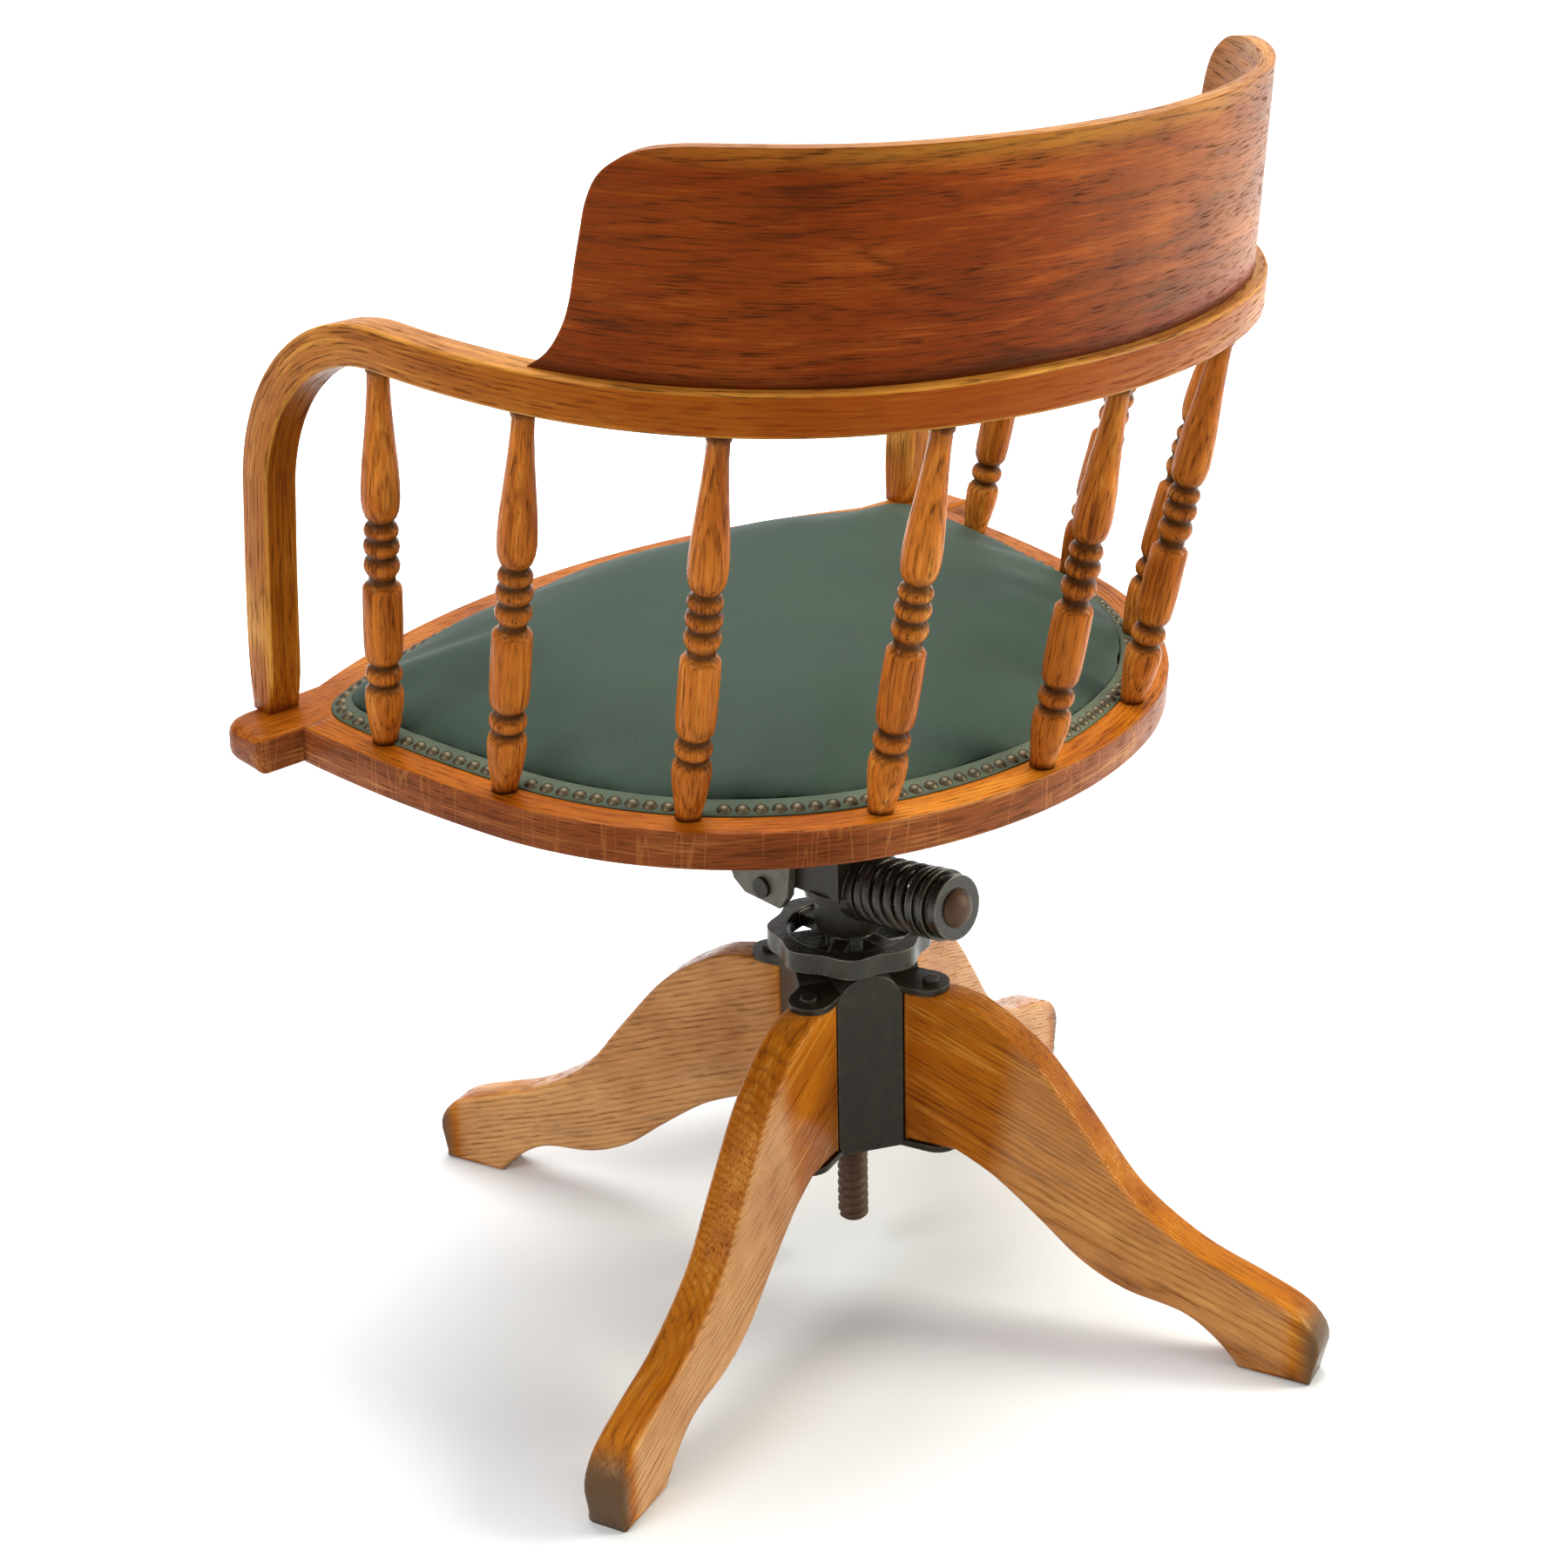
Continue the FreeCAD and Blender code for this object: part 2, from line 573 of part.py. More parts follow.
def seat_pieces():
    blank = bow_blank()
    made = {"seat_ring": make_ring(), "front_rail": make_front_rail(), "seat_board": make_board(),
            "seat_pad": make_pad(), "arm_bow": blank.cut(all_tenons(1)), "back_panel": make_panel(),
            "iron_screws": Part.makeCompound(iron_screws())}
    for index in range(9):
        place, side = (index, 1) if index < 5 else (8 - index, -1)
        made[f"spindle_{index + 1}"] = make_spindle(place, side, blank)
    return {name: raked(shape) for name, shape in made.items()}


def iron_pieces():
    iron = make_iron().cut(screw_holes())
    holes = [cross_bar(PIVOT_R + BORE_GAP, 60, PIVOT), cross_bar(PIN_R, 60, PIN)]
    left, right = raked(iron).cut(holes), raked(mirrored(iron)).cut(holes)
    outer = BODY_HALF + SIDE_GAP + CHEEK_T
    pin = cross_bar(PIN_R, outer, PIN)
    for s in (1, -1):
        pin = pin.fuse(rod(PIN_HEAD[0], V(s * outer, *PIN), V(s, 0, 0), PIN_HEAD[1]))
    return {"seat_iron_left": left, "seat_iron_right": right, "cross_pin": pin.removeSplitter()}


def column_pieces():
    legs = {name: make_leg(LEG_TURN + 90 * k) for k, name in enumerate(LEG_NAMES)}
    pairs = [s for k in range(4) for s in leg_screw_pair(LEG_TURN + 90 * k)]
    washer = post(WASHER_R, HUB_TOP_Z, WHEEL_LOW_Z).cut(post(SCREW_R + 2 * FREE_GAP, 0, FAR))
    grip = BODY_HALF + SIDE_GAP + CHEEK_T + 2
    return {"hub_casting": make_hub(), **legs, "leg_screws": Part.makeCompound(pairs),
            "thrust_washer": washer, "hand_wheel": make_wheel(), "screw_spindle": make_screw(),
            "tilt_casting": make_casting(), "pivot_pin": cross_bar(PIVOT_R, grip, PIVOT),
            "tension_rod": make_rod(), "tension_spring": make_spring(), "tension_knob": make_knob(),
            "rod_cap": make_cap()}


os.makedirs("parts", exist_ok=True)
for name, shape in {**column_pieces(), **iron_pieces(), **seat_pieces()}.items():
    save(name, shape)
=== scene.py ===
# %% [markdown]
# A bankers swivel chair: oak bow, spindles and legs round cast ironwork. The model from the CAD program is the fixed
# frame. Every piece made here stands where its CAD node stands, and rides on the same moving body.
# %% Load the frame
import bpy, bmesh
from functools import partial
from math import acos, asin, atan2, cos, degrees, exp, pi, radians, sin, sqrt, tan
from mathutils import Matrix, Vector


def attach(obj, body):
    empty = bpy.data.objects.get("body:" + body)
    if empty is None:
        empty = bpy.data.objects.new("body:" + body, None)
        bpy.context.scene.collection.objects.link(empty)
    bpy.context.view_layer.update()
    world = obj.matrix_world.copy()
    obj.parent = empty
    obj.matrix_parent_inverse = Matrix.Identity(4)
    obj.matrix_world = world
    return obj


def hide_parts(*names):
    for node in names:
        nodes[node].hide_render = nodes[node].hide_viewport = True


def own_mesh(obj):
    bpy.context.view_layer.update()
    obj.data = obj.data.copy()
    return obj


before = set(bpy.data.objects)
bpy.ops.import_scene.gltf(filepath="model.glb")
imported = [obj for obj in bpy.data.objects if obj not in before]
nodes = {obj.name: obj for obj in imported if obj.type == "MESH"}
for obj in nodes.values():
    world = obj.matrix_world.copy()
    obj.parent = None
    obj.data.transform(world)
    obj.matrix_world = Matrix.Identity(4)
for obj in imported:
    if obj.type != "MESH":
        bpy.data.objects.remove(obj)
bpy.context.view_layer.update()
scene = bpy.context.scene
print("CAD nodes", len(nodes))


def hang(name, data):
    """An object for the data, in the scene, at the origin."""
    made = bpy.data.objects.new(name, data)
    scene.collection.objects.link(made)
    return made


# %% [markdown]
# The camera comes first. Its place and lens were fitted to the toes, the spindle ends and the outline of the seat.
# %% The camera
MM = 0.001
SENSOR = 36.0
CAMERA = dict(place=(1.0751, 1.0324, 0.9593), yaw=-44.72, pitch=22.94, roll=-1.42, lens=62.41)


def aim_camera(place, yaw, pitch, roll, lens):
    data = bpy.data.cameras.new("camera")
    data.lens, data.sensor_width = lens, SENSOR
    cam = hang("camera", data)
    a, b = radians(yaw), radians(pitch)
    ahead = Vector((sin(a) * cos(b), -cos(a) * cos(b), -sin(b)))
    right = ahead.cross(Vector((0, 0, 1))).normalized()
    up = right.cross(ahead)
    r = radians(roll)
    right, up = right * cos(r) + up * sin(r), up * cos(r) - right * sin(r)
    cam.matrix_world = Matrix.Translation(place) @ Matrix((right, up, -ahead)).transposed().to_4x4()
    scene.camera = cam


aim_camera(**CAMERA)
print("lens", CAMERA["lens"])

# %% [markdown]
# A shader is a small graph of nodes. One function adds a node, sets it and links it, so each finish below reads as a
# list of what it mixes. Colours are written as they are seen on a screen and turned to the linear values light needs.
# %% Helpers for finishes
def seen(code):
    parts = [int(code[i:i + 2], 16) / 255 for i in (1, 3, 5)]
    return tuple(c / 12.92 if c <= 0.04045 else ((c + 0.055) / 1.055) ** 2.4 for c in parts) + (1.0,)


def fill(tree, made, inputs):
    """Links a node's inputs to sockets, or writes values in, with colour codes turned to linear."""
    for key, value in inputs.items() if isinstance(inputs, dict) else enumerate(inputs):
        if isinstance(value, bpy.types.NodeSocket):
            tree.links.new(value, made.inputs[key])
        else:
            made.inputs[key].default_value = seen(value) if str(value).startswith("#") else value


def add(tree, kind, inputs=(), out=0, stops=(), **settings):
    """Adds a node, sets and links it, and gives one of its outputs. Stops are the marks of a colour ramp."""
    made = tree.nodes.new(kind if "Node" in kind else "ShaderNode" + kind)
    for key, value in settings.items():
        setattr(made, key, value)
    fill(tree, made, inputs)
    marks = made.color_ramp.elements if stops else ()
    while len(marks) < len(stops):
        marks.new(0.5)
    for mark, (at, colour) in zip(marks, stops):
        mark.position = at
        mark.color = seen(colour) if isinstance(colour, str) else (colour, colour, colour, 1)
    return made.outputs[out]


TIMES, TIMES_PLUS, OVER = (dict(operation=what) for what in ("MULTIPLY", "MULTIPLY_ADD", "DIVIDE"))
COLOUR = dict(data_type="RGBA", out=2)


def new_finish(name):
    """A material, what adds nodes to it, and what fills its shader."""
    made = bpy.data.materials.new(name)
    made.use_nodes = True
    tree = made.node_tree
    return made, partial(add, tree), partial(fill, tree, tree.nodes["Principled BSDF"])


print("varnish red #b86c16 is", [round(c, 3) for c in seen("#b86c16")[:3]], "in light")

# %% [markdown]
# Worn arrises are what makes old furniture look old. A bevel node rounds the normal in a band along each edge, and the
# angle between that and the flat normal is a mask for the band: paint is rubbed through there and varnish gone pale.
# %% Edge wear
EDGE_GAIN = 9.0


def edge_mask(node, radius):
    soft = node("Bevel", {"Radius": radius}, samples=4)
    flat = node("NewGeometry", out="Normal")
    dot = node("VectorMath", (soft, flat), "Value", operation="DOT_PRODUCT")
    return node("Math", (dot, -EDGE_GAIN, EDGE_GAIN), use_clamp=True, **TIMES_PLUS)


print("edge mask full at a lean of", round(degrees(acos(1 - 1 / EDGE_GAIN))), "degrees")

# %% [markdown]
# Oak has four things to show: year rings, which are shells round the middle of the tree and so draw arches where a
# curved edge cuts through them; dark pores a few tenths of a millimetre wide and several long; pale ray flecks on
# quarter-sawn faces; and an attribute named shade, which lays a darker colour on where it is above zero and a paler one
# where it is below: grime and fade in some places, painted shade and painted light in others. Each piece carries an
# attribute named grain, in metres: x runs along its fibres and the tree's middle lies at y = z = 0, so the pattern
# follows bends and turned work.
# %% Oak
def oak(name, pale, mid, dark, ring=3.0, drift=3.0, fleck=0.0, stain_and_shade=None, fade_and_light=None, rough=0.36, pore=0.7,
        sheen=0.14):
    made, node, fill_shader = new_finish(name)
    grain = node("Attribute", out="Vector", attribute_name="grain")
    shade = node("Attribute", out="Fac", attribute_name="shade")

    def noise(scale, detail=2.0, twist=0.0):
        at = node("Mapping", {"Vector": grain, "Scale": scale})
        return node("TexNoise", {"Vector": at, "Scale": 1.0, "Detail": detail, "Distortion": twist})

    def laid_on(colour, share, top, times=1.0):
        share = node("Math", (share, times), **TIMES)
        return node("Mix", {0: share, 6: colour, 7: top}, **COLOUR)

    # Year rings: shells round the middle of the tree, each darkest where it ends.
    flat = node("VectorMath", (grain, (0.0, 1.0, 1.0)), **TIMES)
    radius = node("VectorMath", (flat,), "Value", operation="LENGTH")
    wander = node("Math", (noise((3.5, 16, 16), 3.0), drift * 8 * MM, radius), **TIMES_PLUS)
    years = node("Math", (wander, ring * MM), **OVER)
    late = node("ValToRGB", (node("Math", (years,), operation="FRACT"),),
                stops=[(0.0, 0.9), (0.16, 0.45), (0.5, 0.0), (0.86, 0.2), (1.0, 0.9)])
    # Fibres: wide bands with fine lines in them.
    lines = noise((26, 640, 640), 3.0)
    fibres = node("Math", (noise((9.0, 70, 90), 3.0, 0.6), 0.6, node("Math", (lines, 0.4), **TIMES)), **TIMES_PLUS)
    colour = node("ValToRGB", (fibres,), stops=[(0.36, dark), (0.46, mid), (0.53, mid), (0.62, pale)])
    # Below zero, shade lays on the paler colour: fade and worn arrises, and painted light on the bow's top, the panel's
    # right end and inner face and the legs' cheeks beyond the seat's shadow.
    if fade_and_light:
        colour = laid_on(colour, node("Math", (shade, 0.0), operation="MINIMUM"), fade_and_light, -1.0)
    streaks = node("Math", (late, node("ValToRGB", (lines,), stops=[(0.36, 0.35), (0.6, 1.0)])), **TIMES)
    colour = laid_on(colour, streaks, dark, 0.68)
    # Pores: short dark pits, most of them in the dark part of each ring.
    pits = node("ValToRGB", (noise((65, 1000, 1000)),), stops=[(0.53, 0.0), (0.62, 1.0)])
    pits = node("Math", (pits, node("Math", (late, 0.7, 0.4), **TIMES_PLUS)), use_clamp=True, **TIMES)
    colour = laid_on(colour, pits, "#2e1606", pore)
    if fleck:
        rays = node("ValToRGB", (noise((75, 30, 6), 2.0, 0.3),), stops=[(0.468, 0.0), (0.486, 1.0), (0.504, 0.0)])
        colour = laid_on(colour, rays, pale, fleck)
    place = node("TexCoord", out="Object")
    cloud = node("TexNoise", {"Vector": place, "Scale": 12.0, "Detail": 3.0})
    tone = node("ValToRGB", (cloud,), stops=[(0.32, "#b98f6c"), (0.62, "#ffffff")])
    colour = node("Mix", {0: 0.6, 6: colour, 7: tone}, blend_type="MULTIPLY", **COLOUR)
    # Above zero, shade lays on the darker colour: grime at the legs' toes, a darker band at the panel's foot, and
    # painted shade on the bow's faces, the panel's left end and the spindles' grooves and ends.
    if stain_and_shade:
        colour = laid_on(colour, node("Math", (shade, 0.0), operation="MAXIMUM"), stain_and_shade)
    worn = node("ValToRGB", (cloud,), stops=[(0.40, 0.15), (0.60, 1.0)])
    colour = laid_on(colour, node("Math", (edge_mask(node, 0.0022), worn), **TIMES), pale, 0.6)
    height = node("Math", (pits, -0.5, node("Math", (lines, 0.2), **TIMES)), **TIMES_PLUS)
    soft = node("Bevel", {"Radius": 0.0015}, samples=4)
    fill_shader({
        "Base Color": colour, "Specular IOR Level": sheen, "Specular Tint": "#ffce96",
        "Roughness": node("MapRange", {"Value": pits, "To Min": rough, "To Max": 0.75}),
        "Normal": node("Bump", {"Height": height, "Distance": 0.0006, "Strength": 0.45, "Normal": soft})})
    return made


# The darker colours here are grime at the legs' toes and painted shade on the bow, panel and spindles; the paler ones
# are fade and wear, and painted light on the bow's top, the panel's right end and inner face and the legs' cheeks.
oak_legs = oak("oak_honey_varnish", "#d08e36", "#b86c16", "#85450a", ring=2.3, drift=2.0, stain_and_shade="#574534",
               fade_and_light="#dcb07e", rough=0.2, pore=0.42)
oak_bow = oak("oak_golden_varnish", "#d8963a", "#b26c1a", "#7a400c", ring=2.6, drift=2.0, stain_and_shade="#8c3a08",
              fade_and_light="#dca04a", rough=0.32, pore=0.85)
oak_panel = oak("oak_red_brown_varnish", "#a8521a", "#8c3a0c", "#5c2406", ring=5.0, drift=6.0, stain_and_shade="#3a1404",
                fade_and_light="#c08432", rough=0.3)
oak_frame = oak("oak_quartered_varnish", "#b87842", "#904e28", "#6c381a", ring=2.0, fleck=0.55)
oak_top = oak("oak_frame_top_varnish", "#c67c22", "#b26414", "#84400a", ring=2.4, fleck=0.1, stain_and_shade="#3a2010",
              rough=0.28, sheen=0.08)
oak_turned = oak("oak_turned_varnish", "#e0923c", "#c67226", "#803e0e", ring=2.4, drift=1.5, stain_and_shade="#2c1406",
                 rough=0.26)
print("six oak finishes")

# %% [markdown]
# Cast iron keeps the grain of the sand mould: soft lumps a millimetre or two across under black paint, rubbed to grey
# metal on the corners and brown with rust in places. Turned and drawn steel is finer and mostly rust brown.
# %% Iron and steel
def iron(name, base, rub, rust, grit=600.0, metal=0.3, rough=0.5, rusty=0.35, sheen=0.3):
    made, node, fill_shader = new_finish(name)
    place = node("TexCoord", out="Object")
    sand = node("TexNoise", {"Vector": place, "Scale": grit, "Detail": 3.0})
    lumps = node("TexNoise", {"Vector": place, "Scale": 90.0, "Detail": 4.0})
    spots = node("Math", (node("ValToRGB", (lumps,), stops=[(0.5, 0.0), (0.66, 1.0)]), rusty), **TIMES)
    colour = node("Mix", {0: spots, 6: base, 7: rust}, **COLOUR)
    worn = node("ValToRGB", (lumps,), stops=[(0.35, 0.2), (0.6, 1.0)])
    worn = node("Math", (node("Math", (edge_mask(node, 0.0016), worn), **TIMES), 0.7), **TIMES)
    height = node("Math", (sand, 0.4, lumps), **TIMES_PLUS)
    soft = node("Bevel", {"Radius": 0.0014}, samples=6)
    fill_shader({
        "Base Color": node("Mix", {0: worn, 6: colour, 7: rub}, **COLOUR),
        "Metallic": metal, "Specular IOR Level": sheen,
        "Roughness": node("MapRange", {"Value": sand, "To Min": rough - 0.12, "To Max": rough + 0.16}),
        "Normal": node("Bump", {"Height": height, "Distance": 0.0008, "Strength": 0.45, "Normal": soft})})
    return made


iron_black = iron("cast_iron_black_paint", "#26221a", "#6b6357", "#3a2c1d", rough=0.34)
iron_handled = iron("cast_iron_handled", "#242019", "#948c7b", "#3a2d1b", rough=0.26, sheen=0.45)
iron_grey = iron("iron_plate_worn", "#67655b", "#9a958a", "#54432f", rusty=0.5)
steel_rusty = iron("steel_rust_brown", "#4a3423", "#8c7157", "#33221a", grit=1500.0, metal=0.4, rusty=0.8)
steel_spring = iron("spring_steel_dark", "#2f2a24", "#857b6c", "#453426", grit=1500.0, metal=0.5, rough=0.24,
                    sheen=0.5)
print("five finishes of iron and steel")

# %% [markdown]
# The seat cover is dyed hide: a dark green with a fine net of creases about a millimetre apart and a soft, uneven
# gloss. A cell pattern makes the creases, and a slow noise the lighter places. Its cut edge is duller and greyer.
# %% Leather and nails
def hide(name, base, light):
    made, node, fill_shader = new_finish(name)
    place = node("TexCoord", out="Object")
    cells = node("TexVoronoi", {"Vector": place, "Scale": 900.0}, feature="DISTANCE_TO_EDGE")
    cloud = node("TexNoise", {"Vector": place, "Scale": 9.0, "Detail": 4.0})
    share = node("ValToRGB", (cloud,), stops=[(0.35, 0.0), (0.7, 1.0)])
    height = node("ValToRGB", (cells,), stops=[(0.0, 0.0), (0.12, 1.0)])
    fill_shader({
        "Base Color": node("Mix", {0: share, 6: base, 7: light}, **COLOUR), "Specular IOR Level": 0.1,
        "Roughness": node("MapRange", {"Value": cloud, "To Min": 0.42, "To Max": 0.58}),
        "Normal": node("Bump", {"Height": height, "Distance": 0.00025, "Strength": 0.3})})
    return made


leather_green = hide("leather_green_hide", "#2b3a30", "#344337")
leather_edge_grey = hide("leather_cut_edge", "#424c3e", "#5d6450")
nail_bronze = iron("nail_antique_bronze", "#4c4331", "#b9ac8a", "#2c271d", grit=2500.0, metal=0.75, rough=0.3,
                   rusty=0.6)
print("leather, its cut edge, and bronze for the nails")

# %% [markdown]
# Meshes are made from points in millimetres, and their objects stay at zero. Seat pieces are drawn level and then
# raked back with the frame, as the chair maker built the seat flat on the bench.
# %% Helpers for meshes
RAKE, SEAT_Z, SEAT_T = radians(3.9), 391.0, 22.0


def raked(p):
    y, z = p[1], p[2] - SEAT_Z
    return Vector((p[0], y * cos(RAKE) + z * sin(RAKE), z * cos(RAKE) - y * sin(RAKE) + SEAT_Z))


def plain_mesh(name, points, faces, **layers):
    """Mesh data in metres, with named layers of vectors on its points."""
    data = bpy.data.meshes.new(name)
    data.from_pydata(points, [], faces)
    for label, vectors in layers.items():
        layer = data.attributes.new(label, "FLOAT_VECTOR", "POINT")
        layer.data.foreach_set("vector", [c for v in vectors for c in v])
    return data


def mesh_piece(name, points, faces, finish, grain=(), shade=(), change=Vector):
    """A mesh from points in millimetres, with each point's place in the board and its shade: grime, fade, painted light
    and shade.
    """
    layers = {"grain": [[c * MM for c in g] for g in grain]} if grain else {}
    data = plain_mesh(name, [Vector(change(p)) * MM for p in points], faces, **layers)
    data.materials.append(finish)
    if shade:
        data.attributes.new("shade", "FLOAT", "POINT").data.foreach_set("value", shade)
    made = hang(name, data)
    cleaned(made)
    data.shade_smooth()
    return made


def cleaned(piece, *jobs):
    """Runs mesh operators on a piece and turns its faces outwards."""
    work = bmesh.new()
    work.from_mesh(piece.data)
    for job in jobs:
        job(work)
    bmesh.ops.recalc_face_normals(work, faces=work.faces)
    work.to_mesh(piece.data)
    work.free()


def bake(piece):
    """Turns a piece's modifiers into plain mesh."""
    data = bpy.data.meshes.new_from_object(piece.evaluated_get(bpy.context.evaluated_depsgraph_get()))
    piece.modifiers.clear()
    piece.data = data


def modify(piece, kind, **settings):
    made = piece.modifiers.new(kind.lower(), kind)
    for key, value in settings.items():
        setattr(made, key, value)
    bake(piece)


def stand_for(piece, body, slot, *cad_nodes):
    if cad_nodes:
        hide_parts(*cad_nodes)
    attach(piece, body)
    print(piece.name, len(piece.data.polygons), "faces")


print("seat frame raked back by", round(degrees(RAKE), 1), "degrees")

# %% [markdown]
# The seat frame and the bow share one kind of curve: a flat arc across the back, tighter arcs at the corners and long
# shallow ones down the sides, each meeting the next without a kink. The helper walks along it from the sitter's left
# to the right and gives points, outward directions and the distance walked.
# %% The D-shaped curve
SEAT_D = dict(back=160.5, rb=318.0, a1=70.0, rc=226.0, a2=12.5, rs=765.0)
BOW_D = dict(back=182.0, rb=352.5, a1=68.0, rc=203.0, a2=12.5, rs=407.0)


def arc_steps(centre, r, a, b, step):
    """Points and outward directions along an arc, without its last point."""
    count = max(2, round(abs(b - a) * r / step))
    ways = [Vector((cos(t), sin(t))) for t in (a + (b - a) * k / count for k in range(count))]
    return [(centre + r * way, way) for way in ways]


def d_centres(back, rb, a1, rc, a2, rs):
    """The centres of the back, corner and side arcs, and the angles where they meet."""
    one, two = radians(a1), radians(a2)
    c_back = Vector((0, back - rb))
    c_corner = c_back + (rb - rc) * Vector((cos(one), sin(one)))
    return c_back, c_corner, c_corner + (rc - rs) * Vector((cos(two), sin(two))), one, two


def d_walk(curve, y_end, step=5.0):
    c_back, c_corner, c_side, one, two = d_centres(**curve)
    start = asin((y_end - c_side.y) / curve["rs"])
    half = [spot for centre, r, a, b in ((c_side, "rs", start, two), (c_corner, "rc", two, one),
                                         (c_back, "rb", one, pi / 2))
            for spot in arc_steps(centre, curve[r], a, b, step)]
    middle = (Vector((0, curve["back"])), Vector((0, 1)))
    flip = [(Vector((-p.x, p.y)), Vector((-n.x, n.y))) for p, n in reversed(half)]
    walk, total, last = [], 0.0, half[0][0]
    for p, n in half + [middle] + flip:
        total += (p - last).length
        walk.append((p, n, total))
        last = p
    return walk


def skin(rings, n, caps=True):
    """Faces between closed rings of n points each, with a cap on the first and on the last."""
    faces = [(i * n + k, i * n + (k + 1) % n, (i + 1) * n + (k + 1) % n, (i + 1) * n + k)
             for i in range(rings - 1) for k in range(n)]
    return faces + [tuple(range(n)), tuple(range((rings - 1) * n, rings * n))] if caps else faces


def level_stations(walk, level, start=0.0):
    """Stations of (place, out, up, distance) for a sweep along a level walk."""
    return [(Vector((p.x, p.y, level)), Vector((n.x, n.y, 0)), Vector((0, 0, 1)), start + s) for p, n, s in walk]


def rounded(width, height, r, n=4):
    """Corners of a rounded rectangle about its middle, as (out, up) pairs."""
    ring = []
    for sx, sy, start in ((1, 1, 0), (-1, 1, 90), (-1, -1, 180), (1, -1, 270)):
        for k in range(n + 1):
            a = radians(start + 90 * k / n)
            ring.append((sx * (width / 2 - r) + r * cos(a), sy * (height / 2 - r) + r * sin(a)))
    return ring


def sweep(name, stations, section, finish, change=Vector, pith=(0.0, 0.0), deep=None, rise=None):
    """Carries a closed section along stations of (place, out, up, distance), with rise as its height's share there."""
    points, grain, shade = [], [], []
    for i, (place, out, up, far) in enumerate(stations):
        for a, b in section:
            b *= rise[i] if rise else 1.0
            points.append(place + out * a + up * b)
            grain.append((far, a - pith[0], b - pith[1]))
            shade.append(deep(a, b, far) if deep else 0.0)
    return mesh_piece(name, points, skin(len(stations), len(section)), finish, grain, shade if deep else (), change)


print("round the seat", round(d_walk(SEAT_D, -163.0)[-1][2]), "mm, round the bow", round(d_walk(BOW_D, -80.2)[-1][2]))

# %% [markdown]
# The bow is one steam-bent stick: a post on each ear of the seat, a quarter bend forward of the arm, and the long curve
# round the back. A swept section follows that route exactly, and its eased corners stay even round the bends.
# %% The bow
BOW_Z, BOW_W, BOW_H, BEND_Y, BEND_R, BEND_STEPS = 616.5, 21.0, 22.4, -80.2, 110.0, 24
# The post's stations: height, place along y and depth of the section.
POST = [(391, -195.6, 15.0), (398, -195.2, 17.0), (405, -194.9, 19.4), (413, -194.6, 21.4), (422, -194.5, 22.4),
        (440, -194.2, 22.8), (477, -192.8, 22.6), (505, -191.0, 22.4)]


def bow_stations():
    """The stations from the left post's foot to the right one's, and the section's height at each as a share."""
    level = BOW_Z + BOW_H / 2
    d = d_walk(BOW_D, BEND_Y)
    x, across = d[0][0].x, Vector((1, 0, 0))
    left, rise = [], []
    for z, y, deep in POST:
        left.append((Vector((x, y, z)), across, Vector((0, -1, 0.04)).normalized(), z - SEAT_Z))
        rise.append(deep / BOW_H)
    far = POST[-1][0] - SEAT_Z
    for k in range(1, BEND_STEPS):
        a = pi / 2 * (0.03 + 0.97 * k / BEND_STEPS)
        up = Vector((0, -cos(a), sin(a)))
        left.append((Vector((x, BEND_Y, level - BEND_R)) + up * BEND_R, across, up, far + a * BEND_R))
        rise.append(1.0)
    far += BEND_R * pi / 2
    middle = level_stations(d, level, far)
    total = middle[-1][3] + far
    right = [(Vector((-p.x, p.y, p.z)), -out, up, total - s) for p, out, up, s in reversed(left)]
    return left + middle + right, rise + [1.0] * len(middle) + rise[::-1]


line, rise = bow_stations()
BOW_EASE, BOW_LONG = 2.0, line[-1][3]


def bow_shade(a, b, far):
    """Painted shade on the outer face, most at the middle of the back and at the left post's foot; the other faces a
    little darker; painted light on the top face; the arrises rubbed pale.
    """
    share = far / BOW_LONG
    if abs(a) > BOW_W / 2 - BOW_EASE + 0.1 and abs(b) > BOW_H / 2 - BOW_EASE + 0.1:
        return -0.6
    # Painted light on the top face.
    if b > BOW_H / 2 - 0.1:
        return -0.35
    # Painted shade on the outer face, most at the left post's foot and the middle of the back.
    if a > BOW_W / 2 - 0.1:
        return 0.35 * max(0.0, 1 - far / 160) + 0.8 * exp(-((share - 0.42) / 0.15) ** 2)
    return 0.25


bow = sweep("bow", line, rounded(BOW_W, BOW_H, BOW_EASE), oak_bow, raked, pith=(-30.0, -70.0), deep=bow_shade,
            rise=rise)
stand_for(bow, "seat", "bow_oak", "arm_bow")

# %% [markdown]
# The back panel is a thin curved board standing on the bow. Its ends sweep up in an ogee and its top edge is level.
# Rows of points follow the end's outline, so each row is as long as the board is at that height.
# %% The back panel
PANEL_TOP, PANEL_FACES, PANEL_EASE, PANEL_COLUMNS, PANEL_PITH = 753.0, (3.0, -6.0), 2.0, 121, (700, 42)
PANEL_END = [(18, BOW_Z + BOW_H), (29, 648), (37, 662), (41, 676), (43.5, 693), (46, 708), (48.5, 722), (53, 734),
             (60, 742), (71, 748.5), (88, 752), (112, PANEL_TOP)]


def smooth_line(points, per=4):
    """Extra points between the given ones on a smooth line through them."""
    made = []
    for i in range(len(points) - 1):
        p0, p1, p2, p3 = (Vector(points[max(0, min(len(points) - 1, i + k))]) for k in (-1, 0, 1, 2))
        for k in range(per):
            t = k / per
            made.append(0.5 * (2 * p1 + (p2 - p0) * t + (2 * p0 - 5 * p1 + 4 * p2 - p3) * t * t
                               + (3 * p1 - p0 - 3 * p2 + p3) * t ** 3))
    return made + [Vector(points[-1])]


